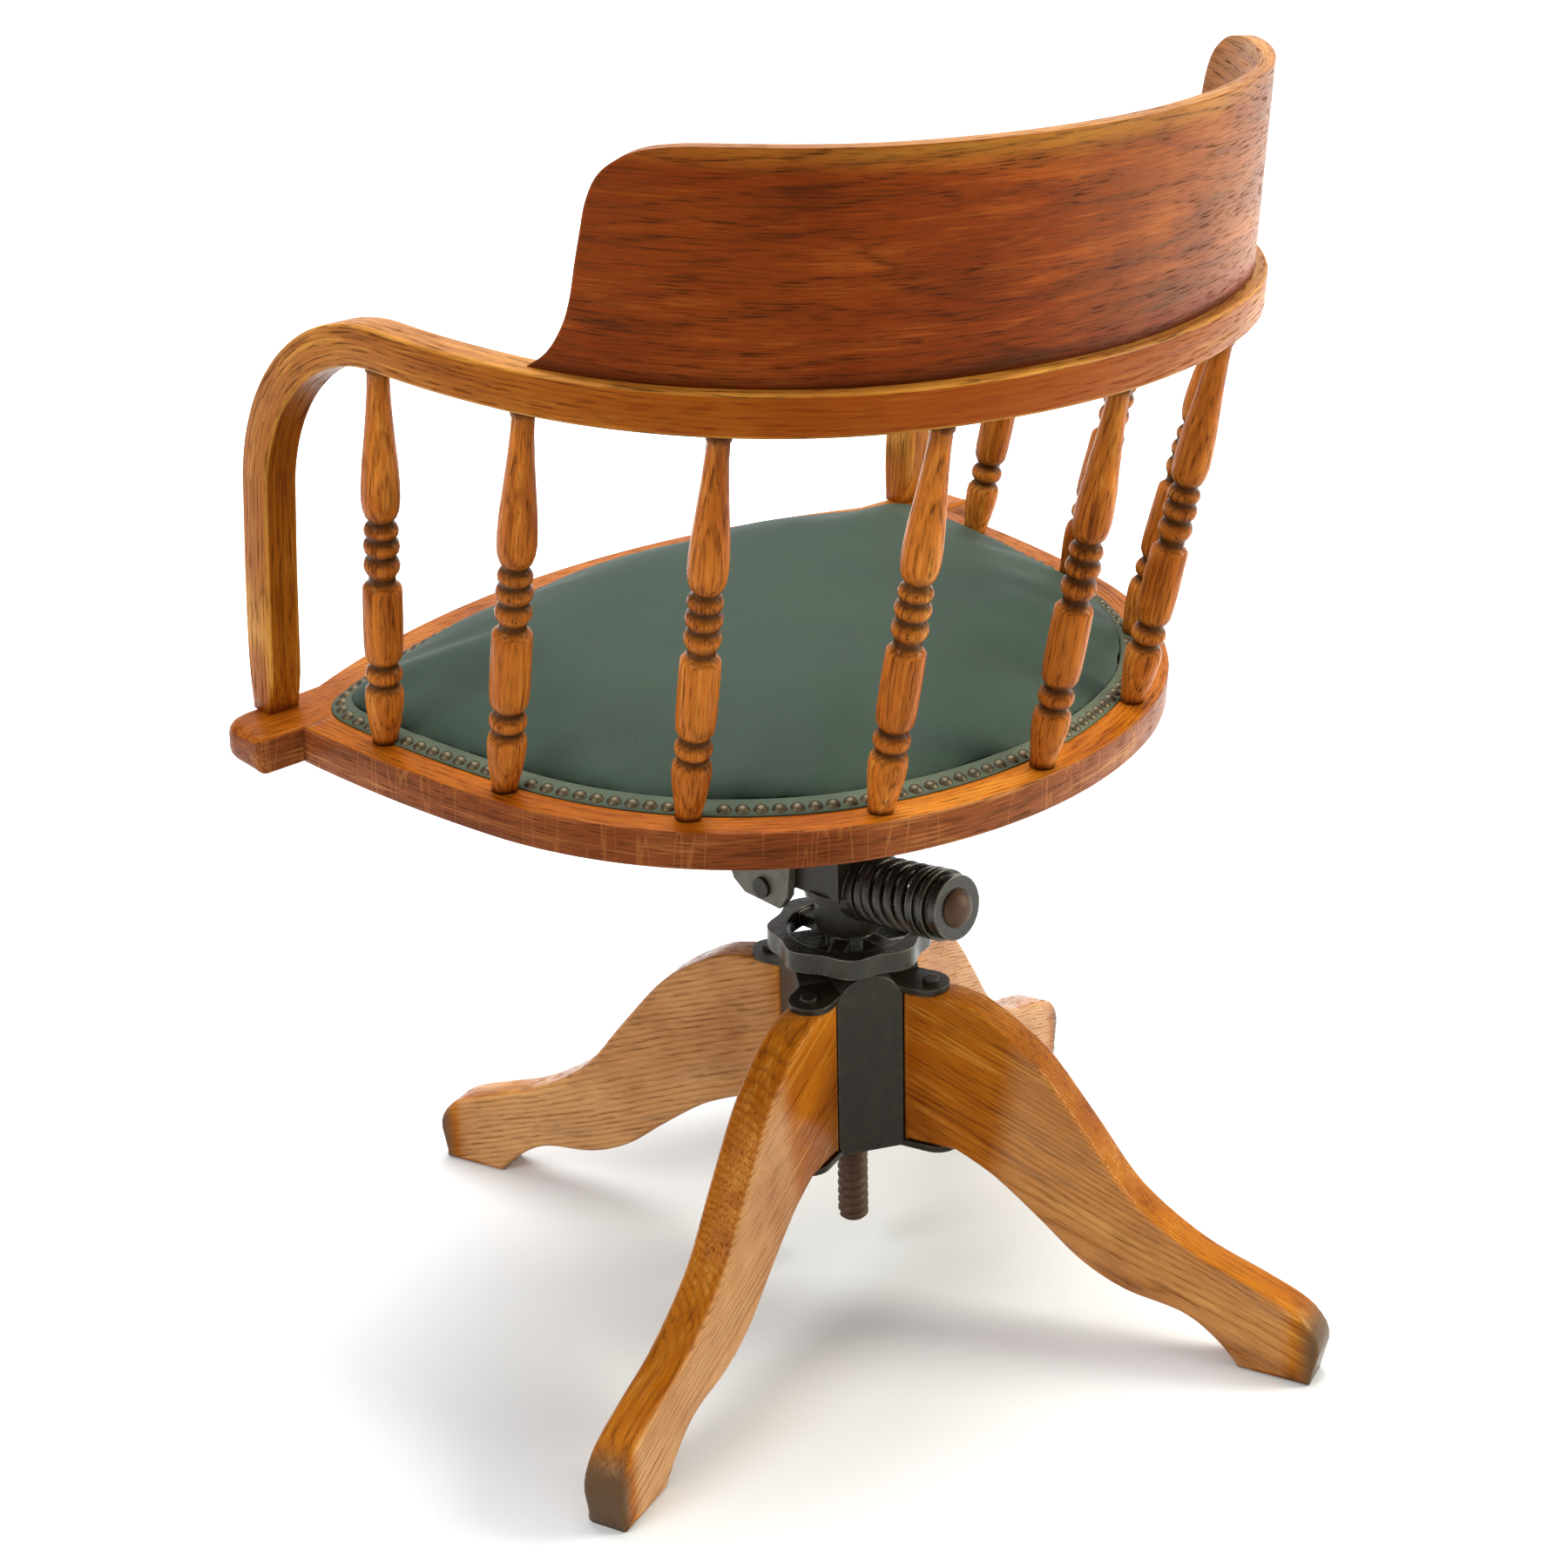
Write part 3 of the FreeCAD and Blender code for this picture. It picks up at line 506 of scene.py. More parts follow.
def panel_walk(walk, y_end):
    """Even columns along the walk between the two places where it passes y_end."""
    i = next(k for k, (p, n, s) in enumerate(walk) if p.y >= y_end)
    (a, _, sa), (b, _, sb) = walk[i - 1], walk[i]
    left = sa + (sb - sa) * (y_end - a.y) / (b.y - a.y)
    total = walk[-1][2]
    made, i = [], 0
    for k in range(PANEL_COLUMNS):
        want = left + (total - 2 * left) * k / (PANEL_COLUMNS - 1)
        while i < len(walk) - 2 and walk[i + 1][2] < want:
            i += 1
        (p0, n0, s0), (p1, n1, s1) = walk[i], walk[i + 1]
        t = (want - s0) / (s1 - s0)
        made.append((p0.lerp(p1, t), n0.lerp(n1, t).normalized(), want))
    return made


def clamp(value):
    return max(0.0, min(1.0, value))


def panel_shade(outside, share, z):
    """Darker at the foot; painted shade on the outer face towards the left end; pale along the top; painted light
    towards the right end of the outer face and on the inner face.
    """
    # Painted light towards the right end and on the inner face, painted shade towards the left end.
    right = clamp((share - 0.4) / 0.4) * 0.5 if outside else 0.45
    left = max(0.0, 1 - share / 0.45) * 0.35 if outside else 0.0
    foot = max(left, 0.75 * exp(-((z - BOW_Z - BOW_H) / 7) ** 2))
    return foot - (1 - foot) * max(right, 0.8 * exp(-((PANEL_TOP - z) / 11) ** 2))


def make_panel():
    columns, rows, walk = PANEL_COLUMNS, smooth_line(PANEL_END), d_walk(BOW_D, -30, step=2.0)
    points, grain, shade = [], [], []
    for offset in PANEL_FACES:
        for y_end, z in rows:
            for p, n, s in panel_walk(walk, y_end):
                points.append((*(p + n * offset), z))
                grain.append((s, z - PANEL_PITH[0], offset - PANEL_PITH[1]))
                shade.append(panel_shade(offset > 0, s / walk[-1][2], z))
    at = lambda side, r, c: (side * len(rows) + r) * columns + c
    faces = [(at(side, r, c), at(side, r, c + 1), at(side, r + 1, c + 1), at(side, r + 1, c))
             for side in (0, 1) for r in range(len(rows) - 1) for c in range(columns - 1)]
    edge = [(0, c) for c in range(columns)] + [(r, columns - 1) for r in range(1, len(rows))] \
        + [(len(rows) - 1, c) for c in range(columns - 2, -1, -1)] + [(r, 0) for r in range(len(rows) - 2, 0, -1)]
    faces += [(at(0, *a), at(0, *b), at(1, *b), at(1, *a)) for a, b in zip(edge, edge[1:] + edge[:1])]
    return mesh_piece("panel", points, faces, oak_panel, grain, shade, raked)


panel = make_panel()
modify(panel, "BEVEL", width=PANEL_EASE * MM, segments=3, limit_method="ANGLE", angle_limit=radians(50))
panel.data.shade_smooth()
stand_for(panel, "seat", "panel_oak", "back_panel")

# %% [markdown]
# A spindle is turned on a lathe, so its shape is one profile spun round its axis. The beads, grooves and the long
# swelling neck were read from the photograph as shares of its length. A second attribute darkens the grooves and
# both ends with painted shade.
# %% The spindles
# Foot and head of each spindle from the side to the middle, its profile as (share of length, radius), and its painted
# shade in the grooves and at the ends as (share, width).
SPINDLES = [((247.5, -116.5), (263.7, -88.0)), ((238.0, -25.6), (253.8, 14.0)), ((188.5, 64.8), (207.6, 103.2)),
            ((107.5, 127.8), (114.0, 163.0)), ((0.0, 149.5), (0.0, 182.0))]
TURNING = [(0.0, 6.6), (0.014, 6.7), (0.02, 5.9), (0.06, 6.1), (0.12, 7.0), (0.19, 8.4), (0.25, 9.7), (0.3, 10.4),
           (0.335, 10.5), (0.36, 9.9), (0.378, 8.6), (0.386, 7.2), (0.392, 6.6), (0.398, 7.4), (0.404, 8.6),
           (0.414, 9.4), (0.424, 9.1), (0.431, 8.0), (0.438, 7.9), (0.446, 9.3), (0.458, 9.9), (0.47, 9.3),
           (0.478, 7.9), (0.486, 7.9), (0.495, 9.2), (0.508, 9.9), (0.52, 9.4), (0.529, 8.2), (0.536, 7.4),
           (0.548, 7.3), (0.556, 7.9), (0.562, 9.6), (0.568, 10.6), (0.6, 10.8), (0.66, 10.9), (0.72, 10.8),
           (0.752, 10.3), (0.764, 8.9), (0.772, 7.6), (0.78, 7.4), (0.787, 8.9), (0.797, 10.0), (0.808, 10.2),
           (0.818, 9.4), (0.826, 7.7), (0.832, 7.4), (0.84, 9.0), (0.85, 10.3), (0.868, 10.7), (0.9, 10.2),
           (0.94, 9.0), (0.975, 7.6), (1.0, 7.0)]
SPINDLE_SIDES, SPINDLE_LET_IN = 32, 1.5
GROOVE_SHADE = [(0.0, 0.016), (0.392, 0.014), (0.434, 0.014), (0.482, 0.014), (0.542, 0.016), (0.776, 0.014),
           (0.829, 0.013), (1.0, 0.016)]


def turn_round(n):
    """The cosine and sine of n even steps round a circle."""
    return [(cos(2 * pi * k / n), sin(2 * pi * k / n)) for k in range(n)]


def make_spindle(name, foot, head, phase):
    foot, head = Vector((*foot, SEAT_Z)), Vector((*head, BOW_Z))
    axis, length = (head - foot).normalized(), (head - foot).length
    side = axis.orthogonal().normalized()
    other = axis.cross(side)
    points, grain, shade, let_in = [], [], [], SPINDLE_LET_IN / length
    rings = [(1.0 + let_in, TURNING[-1][1])] + TURNING[::-1] + [(-let_in, TURNING[0][1])]
    for t, r in rings:
        # Painted shade in the grooves and at both ends.
        dark = max(exp(-((t - at) / wide) ** 2) for at, wide in GROOVE_SHADE)
        for c, d in turn_round(SPINDLE_SIDES):
            p = foot + axis * length * (1 - t) + side * c * r + other * d * r
            if t > 0.93:
                p.z = max(p.z, SEAT_Z)
            if t < 0.02:
                p.z = min(p.z, BOW_Z)
            points.append(p)
            grain.append((t * length + phase * 977, r * c + 14 + phase % 3 * 9, r * d + 6))
            shade.append(min(1.0, 1.05 * dark))
    return mesh_piece(name, points, skin(len(rings), SPINDLE_SIDES), oak_turned, grain, shade, raked)


for number in range(9):
    place, side = (number, 1) if number < 5 else (8 - number, -1)
    (fx, fy), (hx, hy) = SPINDLES[place]
    turned = make_spindle(f"spindle_turned_{number + 1}", (side * fx, fy), (side * hx, hy), number)
    stand_for(turned, "seat", "spindle_oak", f"spindle_{number + 1}")

# %% [markdown]
# The seat frame is a bent ring of quarter-sawn oak, 22 mm thick, let into a front rail. The ring is swept along the
# seat's own curve. Its top is paler and glossier than its sawn sides, so it has a finish of its own.
# %% The seat frame's ring
RIM, RIM_EASE, SPLIT_Y = 60.0, 1.8, -163.0


def second_finish(piece, finish, test):
    """Gives a second finish to the faces whose middle, in millimetres, and normal pass the test."""
    piece.data.materials.append(finish)
    for face in piece.data.polygons:
        if test(face.center / MM, face.normal):
            face.material_index = 1


ring_section = [(a - RIM / 2, b) for a, b in rounded(RIM, SEAT_T, RIM_EASE, 3)]
stations = level_stations(d_walk(SEAT_D, SPLIT_Y), SEAT_Z - SEAT_T / 2)
ring = sweep("seat_frame_ring", stations, ring_section, oak_frame, raked, pith=(30.0, -50.0))
second_finish(ring, oak_top, lambda at, way: way.z > 0.75)
stand_for(ring, "seat", "frame_oak", "seat_ring")

# %% [markdown]
# The front rail is a flat board with a shallow arc along its front and an ear under each arm. It is an outline given
# thickness, with edges rolled over in small steps, wider round the ears' worn ends.
# %% The front rail
FRONT_Y, FRONT_R, EAR_X, EAR_Y, EAR_FRONT, EAR_REAR = -252.0, 569.0, 299.0, -204.0, 17.0, 6.0
RAIL_EASE, EAR_EASE = 2.0, 5.0


def outward(loop):
    """The outward direction at each point of a closed outline that is walked with its inside on the left."""
    ways = [loop[(k + 1) % len(loop)] - loop[k - 1] for k in range(len(loop))]
    return [Vector((way.y, -way.x)).normalized() for way in ways]


def edge_steps(low, high, steps=4):
    """The angles of an edge rounded over, from the low face up and in to the high one."""
    turns = [pi / 2 * k / steps for k in range(steps + 1)]
    return [(a, low) for a in reversed(turns)] + [(a, high) for a in turns]


def rounded_plate(name, outline, ease_at, z0, z1, finish, change=Vector, pith=(0.0, 0.0)):
    """Gives thickness to an outline, walked with its inside on the left; ease_at(x, y) is the edge's radius there."""
    spots = [Vector(p) for p in outline]
    points, grain, steps = [], [], edge_steps(z0, z1)
    for a, level in steps:
        for p, way in zip(spots, outward(spots)):
            r = ease_at(p.x, p.y)
            q = p - way * r * (1 - cos(a))
            z = level + (r if level == z0 else -r) * (1 - sin(a))
            points.append((q.x, q.y, z))
            grain.append((q.x, q.y - pith[0], z - pith[1]))
    return mesh_piece(name, points, skin(len(steps), len(spots)), finish, grain, change=change)


def arc_points(cx, cy, r, a0, a1, step):
    """Points along an arc with its last point; the angles are in degrees."""
    count = max(2, round(abs(radians(a1 - a0)) * r / step))
    turns = [radians(a0 + (a1 - a0) * k / count) for k in range(count + 1)]
    return [(cx + r * cos(a), cy + r * sin(a)) for a in turns]


centre_y = FRONT_Y + FRONT_R
front_a = degrees(acos((centre_y - EAR_Y) / FRONT_R)) - 90
half_front = arc_points(0, centre_y, FRONT_R, -90, -90 - (-90 - front_a), 8)
half_front += arc_points(EAR_X - EAR_FRONT, EAR_Y + EAR_FRONT, EAR_FRONT, -90, 0, 2)
half_front += arc_points(EAR_X - EAR_REAR, SPLIT_Y - EAR_REAR, EAR_REAR, 0, 90, 1.5)
half_front += [(275, SPLIT_Y), (200, SPLIT_Y), (100, SPLIT_Y)]
outline = half_front + [(-x, y) for x, y in reversed(half_front[1:])]


def ear_ease(x, y):
    """Two millimetres along the rail and the ear's rear, seven round its worn end."""
    return RAIL_EASE + EAR_EASE * clamp((abs(x) - 268) / 16) * clamp((SPLIT_Y - y) / 8)


rail = rounded_plate("seat_front_rail", outline, ear_ease, SEAT_Z - SEAT_T, SEAT_Z, oak_top, raked,
                     pith=(-120.0, 330.0))
second_finish(rail, oak_frame, lambda at, way: way.z < 0.35)
stand_for(rail, "seat", "frame_oak", "front_rail")

# %% [markdown]
# The legs are sawn from inch-thick board to an S-shaped pattern, and their edges are rounded over by hand and wear.
# The outline is smoothed and carried round each edge in small steps. The cheeks are filled with a grid of cells, so
# that the fade and the painted light along the leg have points to follow. The grain runs straight down the board.
# %% The legs
LEG_TURN, LEG_T, ROOT, LEG_TOP_Z, LEG_LOW_Z, TOE_R = 17.0, 25.4, 41.7, 204.0, 102.0, 305.0
LEG_EASE, LEG_CELLS, LEG_ROWS, GRAIN_SLOPE = 3.2, 64, 8, radians(-20)
LEG_UPPER = [(70, LEG_TOP_Z), (92, 198), (127, 174.5), (160, 135.5), (190, 98), (230, 71), (268, 57), (295, 46),
             (307, 34), (310, 24)]
LEG_LOWER = [(77, LEG_LOW_Z), (102, 90), (132, 68), (160, 46), (189, 33.5), (225, 28), (247, 15), (261.4, 0)]


def evenly(points, count):
    """Points at equal steps along a line of straight runs."""
    points = [Vector(p) for p in points]
    runs = [(b - a).length for a, b in zip(points, points[1:])]
    made, i, walked = [], 0, 0.0
    for k in range(count + 1):
        want = sum(runs) * k / count
        while i < len(runs) - 1 and walked + runs[i] < want:
            walked += runs[i]
            i += 1
        made.append(points[i].lerp(points[i + 1], min(1.0, (want - walked) / runs[i])))
    return made


def leg_shade(cheek, r, z, pale):
    """Dark at the worn toe; pale, by pale[0], on the cheek from pale[1] outwards: fade, and painted light where the
    seat's shadow ends.
    """
    toe = clamp((r - 290) / 16) * clamp((64 - z) / 25)
    return 0.95 * toe - (1 - toe) * cheek * clamp((r - pale[1]) / 14 - (z - 120) / 90) * pale[0]


def make_leg(name, turn, pith, spread, pale, phase):
    upper = evenly([(ROOT, LEG_TOP_Z)] + smooth_line(LEG_UPPER, 5) + [(TOE_R, 0)], LEG_CELLS)
    lower = evenly([(ROOT, LEG_LOW_Z)] + smooth_line(LEG_LOWER, 5), LEG_CELLS)
    loop, half, steps = lower + upper[::-1], LEG_T / 2, edge_steps(-1, 1)
    n, points, cheek = len(loop), [], []
    for a, sign in steps:
        for p, out in zip(loop, outward(loop)):
            q = p - out * LEG_EASE * (1 - cos(a))
            points.append((q.x, q.y, sign * (half - LEG_EASE * (1 - sin(a)))))
            cheek.append(clamp((sin(a) - 0.3) * 2))
    faces = skin(len(steps), n, caps=False)
    for first in (0, (len(steps) - 1) * n):
        rows = [[first + k for k in range(LEG_CELLS + 1)]]
        for row in range(1, LEG_ROWS):
            rows.append(list(range(len(points), len(points) + LEG_CELLS + 1)))
            for k in range(LEG_CELLS + 1):
                low, high = Vector(points[first + k]), Vector(points[first + n - 1 - k])
                points.append(low.lerp(high, row / LEG_ROWS))
                cheek.append(1.0)
        rows.append([first + n - 1 - k for k in range(LEG_CELLS + 1)])
        faces += [(one[k], one[k + 1], two[k + 1], two[k]) for one, two in zip(rows, rows[1:])
                  for k in range(LEG_CELLS)]
    along, across = cos(GRAIN_SLOPE), sin(GRAIN_SLOPE)
    grain = [(r * along + z * across + phase * 533, (side - pith[0]) * spread,
              (z * along - r * across - pith[1]) * spread) for r, z, side in points]
    shade = [leg_shade(share, r, z, pale) for share, (r, z, side) in zip(cheek, points)]
    c, d = cos(radians(turn)), sin(radians(turn))
    return mesh_piece(name, points, faces, oak_legs, grain, shade,
                      change=lambda p: (p[0] * c - p[2] * d, p[0] * d + p[2] * c, p[1]))


# For each leg: where the tree's middle lies, how far apart its rings stand, and how much and from where its cheeks
# turn pale, by fade and painted light.
LEG_CUTS = [((-18.0, 104.0), 1.0, (0.7, 96)), ((-95.0, 90.0), 1.0, (0.35, 100)), ((-30.0, -20.0), 1.0, (0.6, 60)),
            ((12.0, 30.0), 0.55, (0.6, 30))]
for count, (where, (pith, spread, pale)) in enumerate(zip(("left", "back", "right", "front"), LEG_CUTS)):
    leg = make_leg(f"leg_board_{where}", LEG_TURN + 90 * count, pith, spread, pale, count)
    stand_for(leg, "base", "leg_oak", f"leg_{where}")

# %% [markdown]
# The cushion is leather drawn tight over hair and nailed down all round. It starts as a low closed form on the CAD
# outline, is remeshed into even cells, and a cloth simulation blows it up a little, so it crowns and rounds as a
# stretched cover does. Its edge is held, and no point may move more than the cap.
# %% The seat pad
PAD_INSET, PAD_CROWN, PAD_SHOULDER, PAD_CORNER, PAD_ROWS = 24.0, 31.5, 105.0, 34.0, 12
CLOTH_STIFF, CLOTH_BEND, CLOTH_FRAMES, HELD_BELOW = 40.0, 6.0, 20, 2.5


def cushion_loop(inset, step=7.0):
    """Points of the closed outline at an inset from the seat frame's edge, from the front's middle round."""
    c_back, c_corner, c_side, one, two = d_centres(**SEAT_D)
    c_front = Vector((0, FRONT_Y + FRONT_R))
    # The rounded corner touches the side's arc and the front's, so its middle is where two smaller circles cross.
    r1, r2 = SEAT_D["rs"] - inset - PAD_CORNER, FRONT_R - inset - PAD_CORNER
    gap = (c_front - c_side).length
    a = (r1 * r1 - r2 * r2 + gap * gap) / (2 * gap)
    h = sqrt(r1 * r1 - a * a)
    u = (c_front - c_side) / gap
    spots = [c_side + a * u + s * h * Vector((-u.y, u.x)) for s in (1, -1)]
    spot = min(spots, key=lambda p: p.y - p.x)
    a_side, a_front = atan2(*(spot - c_side).yx), atan2(*(spot - c_front).yx)
    half = []
    for centre, r, b0, b1 in ((c_front, FRONT_R - inset, -pi / 2, a_front), (spot, PAD_CORNER, a_front, a_side),
                              (c_side, SEAT_D["rs"] - inset, a_side, two), (c_corner, SEAT_D["rc"] - inset, two, one),
                              (c_back, SEAT_D["rb"] - inset, one, pi / 2)):
        half += [p for p, way in arc_steps(centre, r, b0, b1, step)]
    top = Vector((0, SEAT_D["back"] - inset))
    return half + [top] + [Vector((-p.x, p.y)) for p in reversed(half[1:])]


def pad_form():
    outline = cushion_loop(PAD_INSET)
    points, middle = [], Vector((0, -40))
    for row in range(PAD_ROWS):
        a = pi / 2 * row / PAD_ROWS
        drawn = PAD_SHOULDER * (1 - cos(a))
        for p in outline:
            inward = (p - middle).length
            q = middle + (p - middle) * max(0.0, (inward - drawn) / inward)
            points.append((q.x, q.y, SEAT_Z + 0.6 + PAD_CROWN * sin(a)))
    return mesh_piece("seat_pad_leather", points, skin(PAD_ROWS, len(outline)), leather_green, change=raked)


def puff(piece, voxel, pressure, cap):
    """Remeshes a closed form and lets cloth pressure round it, with its floor held and every move capped."""
    modify(piece, "REMESH", mode="VOXEL", voxel_size=voxel * MM, use_smooth_shade=True)
    start = [v.co.copy() for v in piece.data.vertices]
    held = piece.vertex_groups.new(name="held")
    for v in piece.data.vertices:
        height = (v.co.z / MM - SEAT_Z) + v.co.y / MM * tan(RAKE)
        held.add([v.index], 1.0 if height < HELD_BELOW else max(0.0, 0.25 - height / 40), "REPLACE")
    cloth = piece.modifiers.new("cloth", "CLOTH").settings
    cloth.use_pressure, cloth.uniform_pressure_force = True, pressure
    cloth.vertex_group_mass, cloth.pin_stiffness = "held", 1.0
    cloth.effector_weights.gravity = 0.0
    cloth.tension_stiffness = cloth.compression_stiffness = CLOTH_STIFF
    cloth.bending_stiffness = CLOTH_BEND
    for number in range(1, CLOTH_FRAMES + 1):
        scene.frame_set(number)
    bake(piece)
    for v, old in zip(piece.data.vertices, start):
        step = v.co - old
        if step.length > cap * MM:
            v.co = old + step.normalized() * cap * MM
    scene.frame_set(1)


pad = pad_form()
puff(pad, voxel=5.0, pressure=4.0, cap=5.0)
modify(pad, "SMOOTH", iterations=28, factor=0.5)
modify(pad, "SUBSURF", levels=1, render_levels=1)
pad.data.shade_smooth()
stand_for(pad, "seat", "green_leather", "seat_pad")

# %% [markdown]
# The cover's cut edge shows as a thin line outside the nails. It is a closed strip that rises from the wood and runs in
# under the nails and the pad.
# %% The leather's cut edge
def leather_edge(outer, inner, thick):
    rows = [(outer, 0.2), (outer + 0.2, thick), (outer + 5.0, thick + 1.0), (inner, 6.0), (inner + 2.0, 0.2)]
    loops = [(cushion_loop(inset, step=5.0), up) for inset, up in rows]
    n = min(len(loop) for loop, up in loops)
    points = [(*loop[round(k * len(loop) / n) % len(loop)], SEAT_Z + up) for loop, up in loops for k in range(n)]
    faces = [tuple(i % len(points) for i in face) for face in skin(len(rows) + 1, n, caps=False)]
    return mesh_piece("leather_edge", points, faces, leather_edge_grey, change=raked)


stand_for(leather_edge(outer=19.2, inner=29.0, thick=1.2), "seat", "green_leather")

# %% [markdown]
# Close-set dome nails hold the leather. Geometry Nodes stand one low dome on each of their places and make the copies
# real.
# %% Copies on points
def standing_tree(name):
    """Stands a copy of an object on each point, its Z along the point's way and its X along the point's side."""
    tree = bpy.data.node_groups.new(name, "GeometryNodeTree")
    for way in ("INPUT", "OUTPUT"):
        tree.interface.new_socket("Geometry", in_out=way, socket_type="NodeSocketGeometry")
    for label, kind in (("Copy", "Object"), ("Size", "Float"), ("Finish", "Material")):
        tree.interface.new_socket(label, in_out="INPUT", socket_type="NodeSocket" + kind)
    node, start, end = partial(add, tree), tree.nodes.new("NodeGroupInput"), tree.nodes.new("NodeGroupOutput")
    shape = node("GeometryNodeObjectInfo", {"Object": start.outputs["Copy"]}, "Geometry")
    way, side = (node("GeometryNodeInputNamedAttribute", {"Name": label}, data_type="FLOAT_VECTOR")
                 for label in ("way", "side"))
    turn = node("FunctionNodeAxesToRotation", {"Primary Axis": way, "Secondary Axis": side},
                primary_axis="Z", secondary_axis="X")
    copies = node("GeometryNodeInstanceOnPoints", {
        "Points": start.outputs["Geometry"], "Instance": shape, "Rotation": turn, "Scale": start.outputs["Size"]})
    real = node("GeometryNodeRealizeInstances", (copies,))
    done = node("GeometryNodeSetMaterial", {"Geometry": real, "Material": start.outputs["Finish"]})
    tree.links.new(done, end.inputs[0])
    return tree


def stand_copies(name, copy, spots, finish):
    """Runs the tree on spots of (place, way, side) and gives the result as a plain mesh object."""
    at, way, side = zip(*spots)
    made, tree = hang(name, plain_mesh(name, at, [], way=way, side=side)), standing_tree(name + "_tree")
    work, inputs = made.modifiers.new("tree", "NODES"), {"Copy": copy, "Size": 1.0, "Finish": finish}
    work.node_group = tree
    for item in tree.interface.items_tree:
        if item.name in inputs:
            work[item.identifier] = inputs[item.name]
    bake(made)
    made.data.shade_smooth()
    return made


print("a tree takes Copy, Size and Finish")

# %% [markdown]
# The nails' places are measured off along the pad's edge, each with the way it faces. A place that a spindle's foot
# covers is left out.
# %% The nails
NAIL_R, NAIL_HIGH, NAIL_PITCH, NAIL_INSET, NAIL_CLEAR = 4.7, 3.5, 9.8, 24.5, 11.0


def dome_mesh(name, r, height, finish, rings=4, n=14):
    """A low dome with a flat base, centred on the origin and facing +Z."""
    points, ball = [], (r * r + height * height) / (2 * height)
    for i in range(rings):
        a = asin(r / ball) * (1 - i / rings)
        points += [(ball * sin(a) * c, ball * sin(a) * d, ball * cos(a) - ball + height)
                   for c, d in turn_round(n)]
    points.append((0, 0, height))
    faces = skin(rings, n, caps=False)
    faces += [((rings - 1) * n + k, (rings - 1) * n + (k + 1) % n, len(points) - 1) for k in range(n)]
    faces.append(tuple(range(n - 1, -1, -1)))
    return mesh_piece(name, points, faces, finish)


def nail_spots():
    loop = cushion_loop(NAIL_INSET, step=1.0)
    sides = list(zip(loop, loop[1:] + loop[:1]))
    length = sum((b - a).length for a, b in sides)
    count = round(length / NAIL_PITCH)
    feet = [Vector((s * f[0], f[1])) for f, h in SPINDLES for s in (1, -1)]
    spots, walked, want = [], 0.0, 0.0
    for a, b in sides:
        step = (b - a).length
        while want <= walked + step:
            p = a.lerp(b, (want - walked) / step)
            if min((p - f).length for f in feet) > NAIL_CLEAR:
                n = Vector(((b - a).y, -(b - a).x)).normalized()
                lean = raked((n.x * 0.16, n.y * 0.16, SEAT_Z + 1)) - raked((0, 0, SEAT_Z))
                spots.append((raked((p.x, p.y, SEAT_Z + 1.2)) * MM, lean.normalized(), Vector((n.y, -n.x, 0))))
            want += length / count
        walked += step
    return spots


nail = dome_mesh("nail_pattern", NAIL_R, NAIL_HIGH, nail_bronze)
nails = stand_copies("seat_nails", nail, nail_spots(), nail_bronze)
bpy.data.objects.remove(nail)
stand_for(nails, "seat", "screw_steel")

# %% [markdown]
# The height screw has a coarse square-topped thread, six millimetres a turn. A short profile of one turn's height
# is carried round and up the shaft, one step lower than a full pitch each time round, so it closes on itself.
# %% The height screw
SCREW_R, SCREW_ROOT, SCREW_TIP, SCREW_LOW, SCREW_HIGH, PITCH, SCREW_SIDES = 9.6, 8.1, 7.4, 29.5, 254.0, 6.0, 36
THREAD = [(0.0, SCREW_R), (0.34, SCREW_R), (0.5, SCREW_ROOT), (0.84, SCREW_ROOT)]


def make_screw():
    n, points = SCREW_SIDES, []
    turns = int((SCREW_HIGH - SCREW_LOW) / PITCH)
    rows = [((turn + share) * PITCH, r) for turn in range(-1, turns + 1) for share, r in THREAD]
    for h, r in rows:
        for k in range(n + 1):
            a = 2 * pi * k / n
            z = min(max(SCREW_LOW + h + PITCH * k / n, SCREW_LOW), SCREW_HIGH)
            r_here = min(r, SCREW_TIP + z - SCREW_LOW)
            points.append((r_here * cos(a), r_here * sin(a), z))
    starts = [i * (n + 1) + k for i in range(len(rows) - 1) for k in range(n)]
    faces = [(a, a + 1, a + n + 2, a + n + 1) for a in starts]
    for z, r in ((SCREW_LOW, SCREW_TIP), (SCREW_HIGH, SCREW_ROOT)):
        faces.append(tuple(range(len(points), len(points) + n)))
        points += [(r * c, r * d, z) for c, d in turn_round(n)]
    return mesh_piece("height_screw", points, faces, steel_rusty)


screw = make_screw()
cleaned(screw, lambda work: bmesh.ops.remove_doubles(work, verts=work.verts, dist=0.00001),
        lambda work: bmesh.ops.dissolve_degenerate(work, dist=0.00001, edges=work.edges))
stand_for(screw, "lift", "rusty_steel", "screw_spindle")

# %% [markdown]
# The tension spring is round wire wound open, its end coils laid down against the casting and the knob. A helix whose
# pitch closes up at both ends is the path, and a round section follows it. When the seat tips back the knob comes
# forward and the spring shortens.
# %% The spring
PIN, ROD_END = Vector((0, -42.0, 258.0)), Vector((0, 88.0, 274.0))
ROD_WAY = (ROD_END - PIN).normalized()
ROD_ZERO = PIN - ROD_WAY * (PIN.y / ROD_WAY.y)
ROD_UP = Vector((1, 0, 0)).cross(ROD_WAY)
SPRING_A, SPRING_B, COIL_R, WIRE_R, TURNS = 22.3, 65.7, 18.3, 3.2, 5.0
WIRE_STEPS, WIRE_SIDES, CLOSED_END, CLOSED_PITCH = 28, 10, 0.2, 0.25


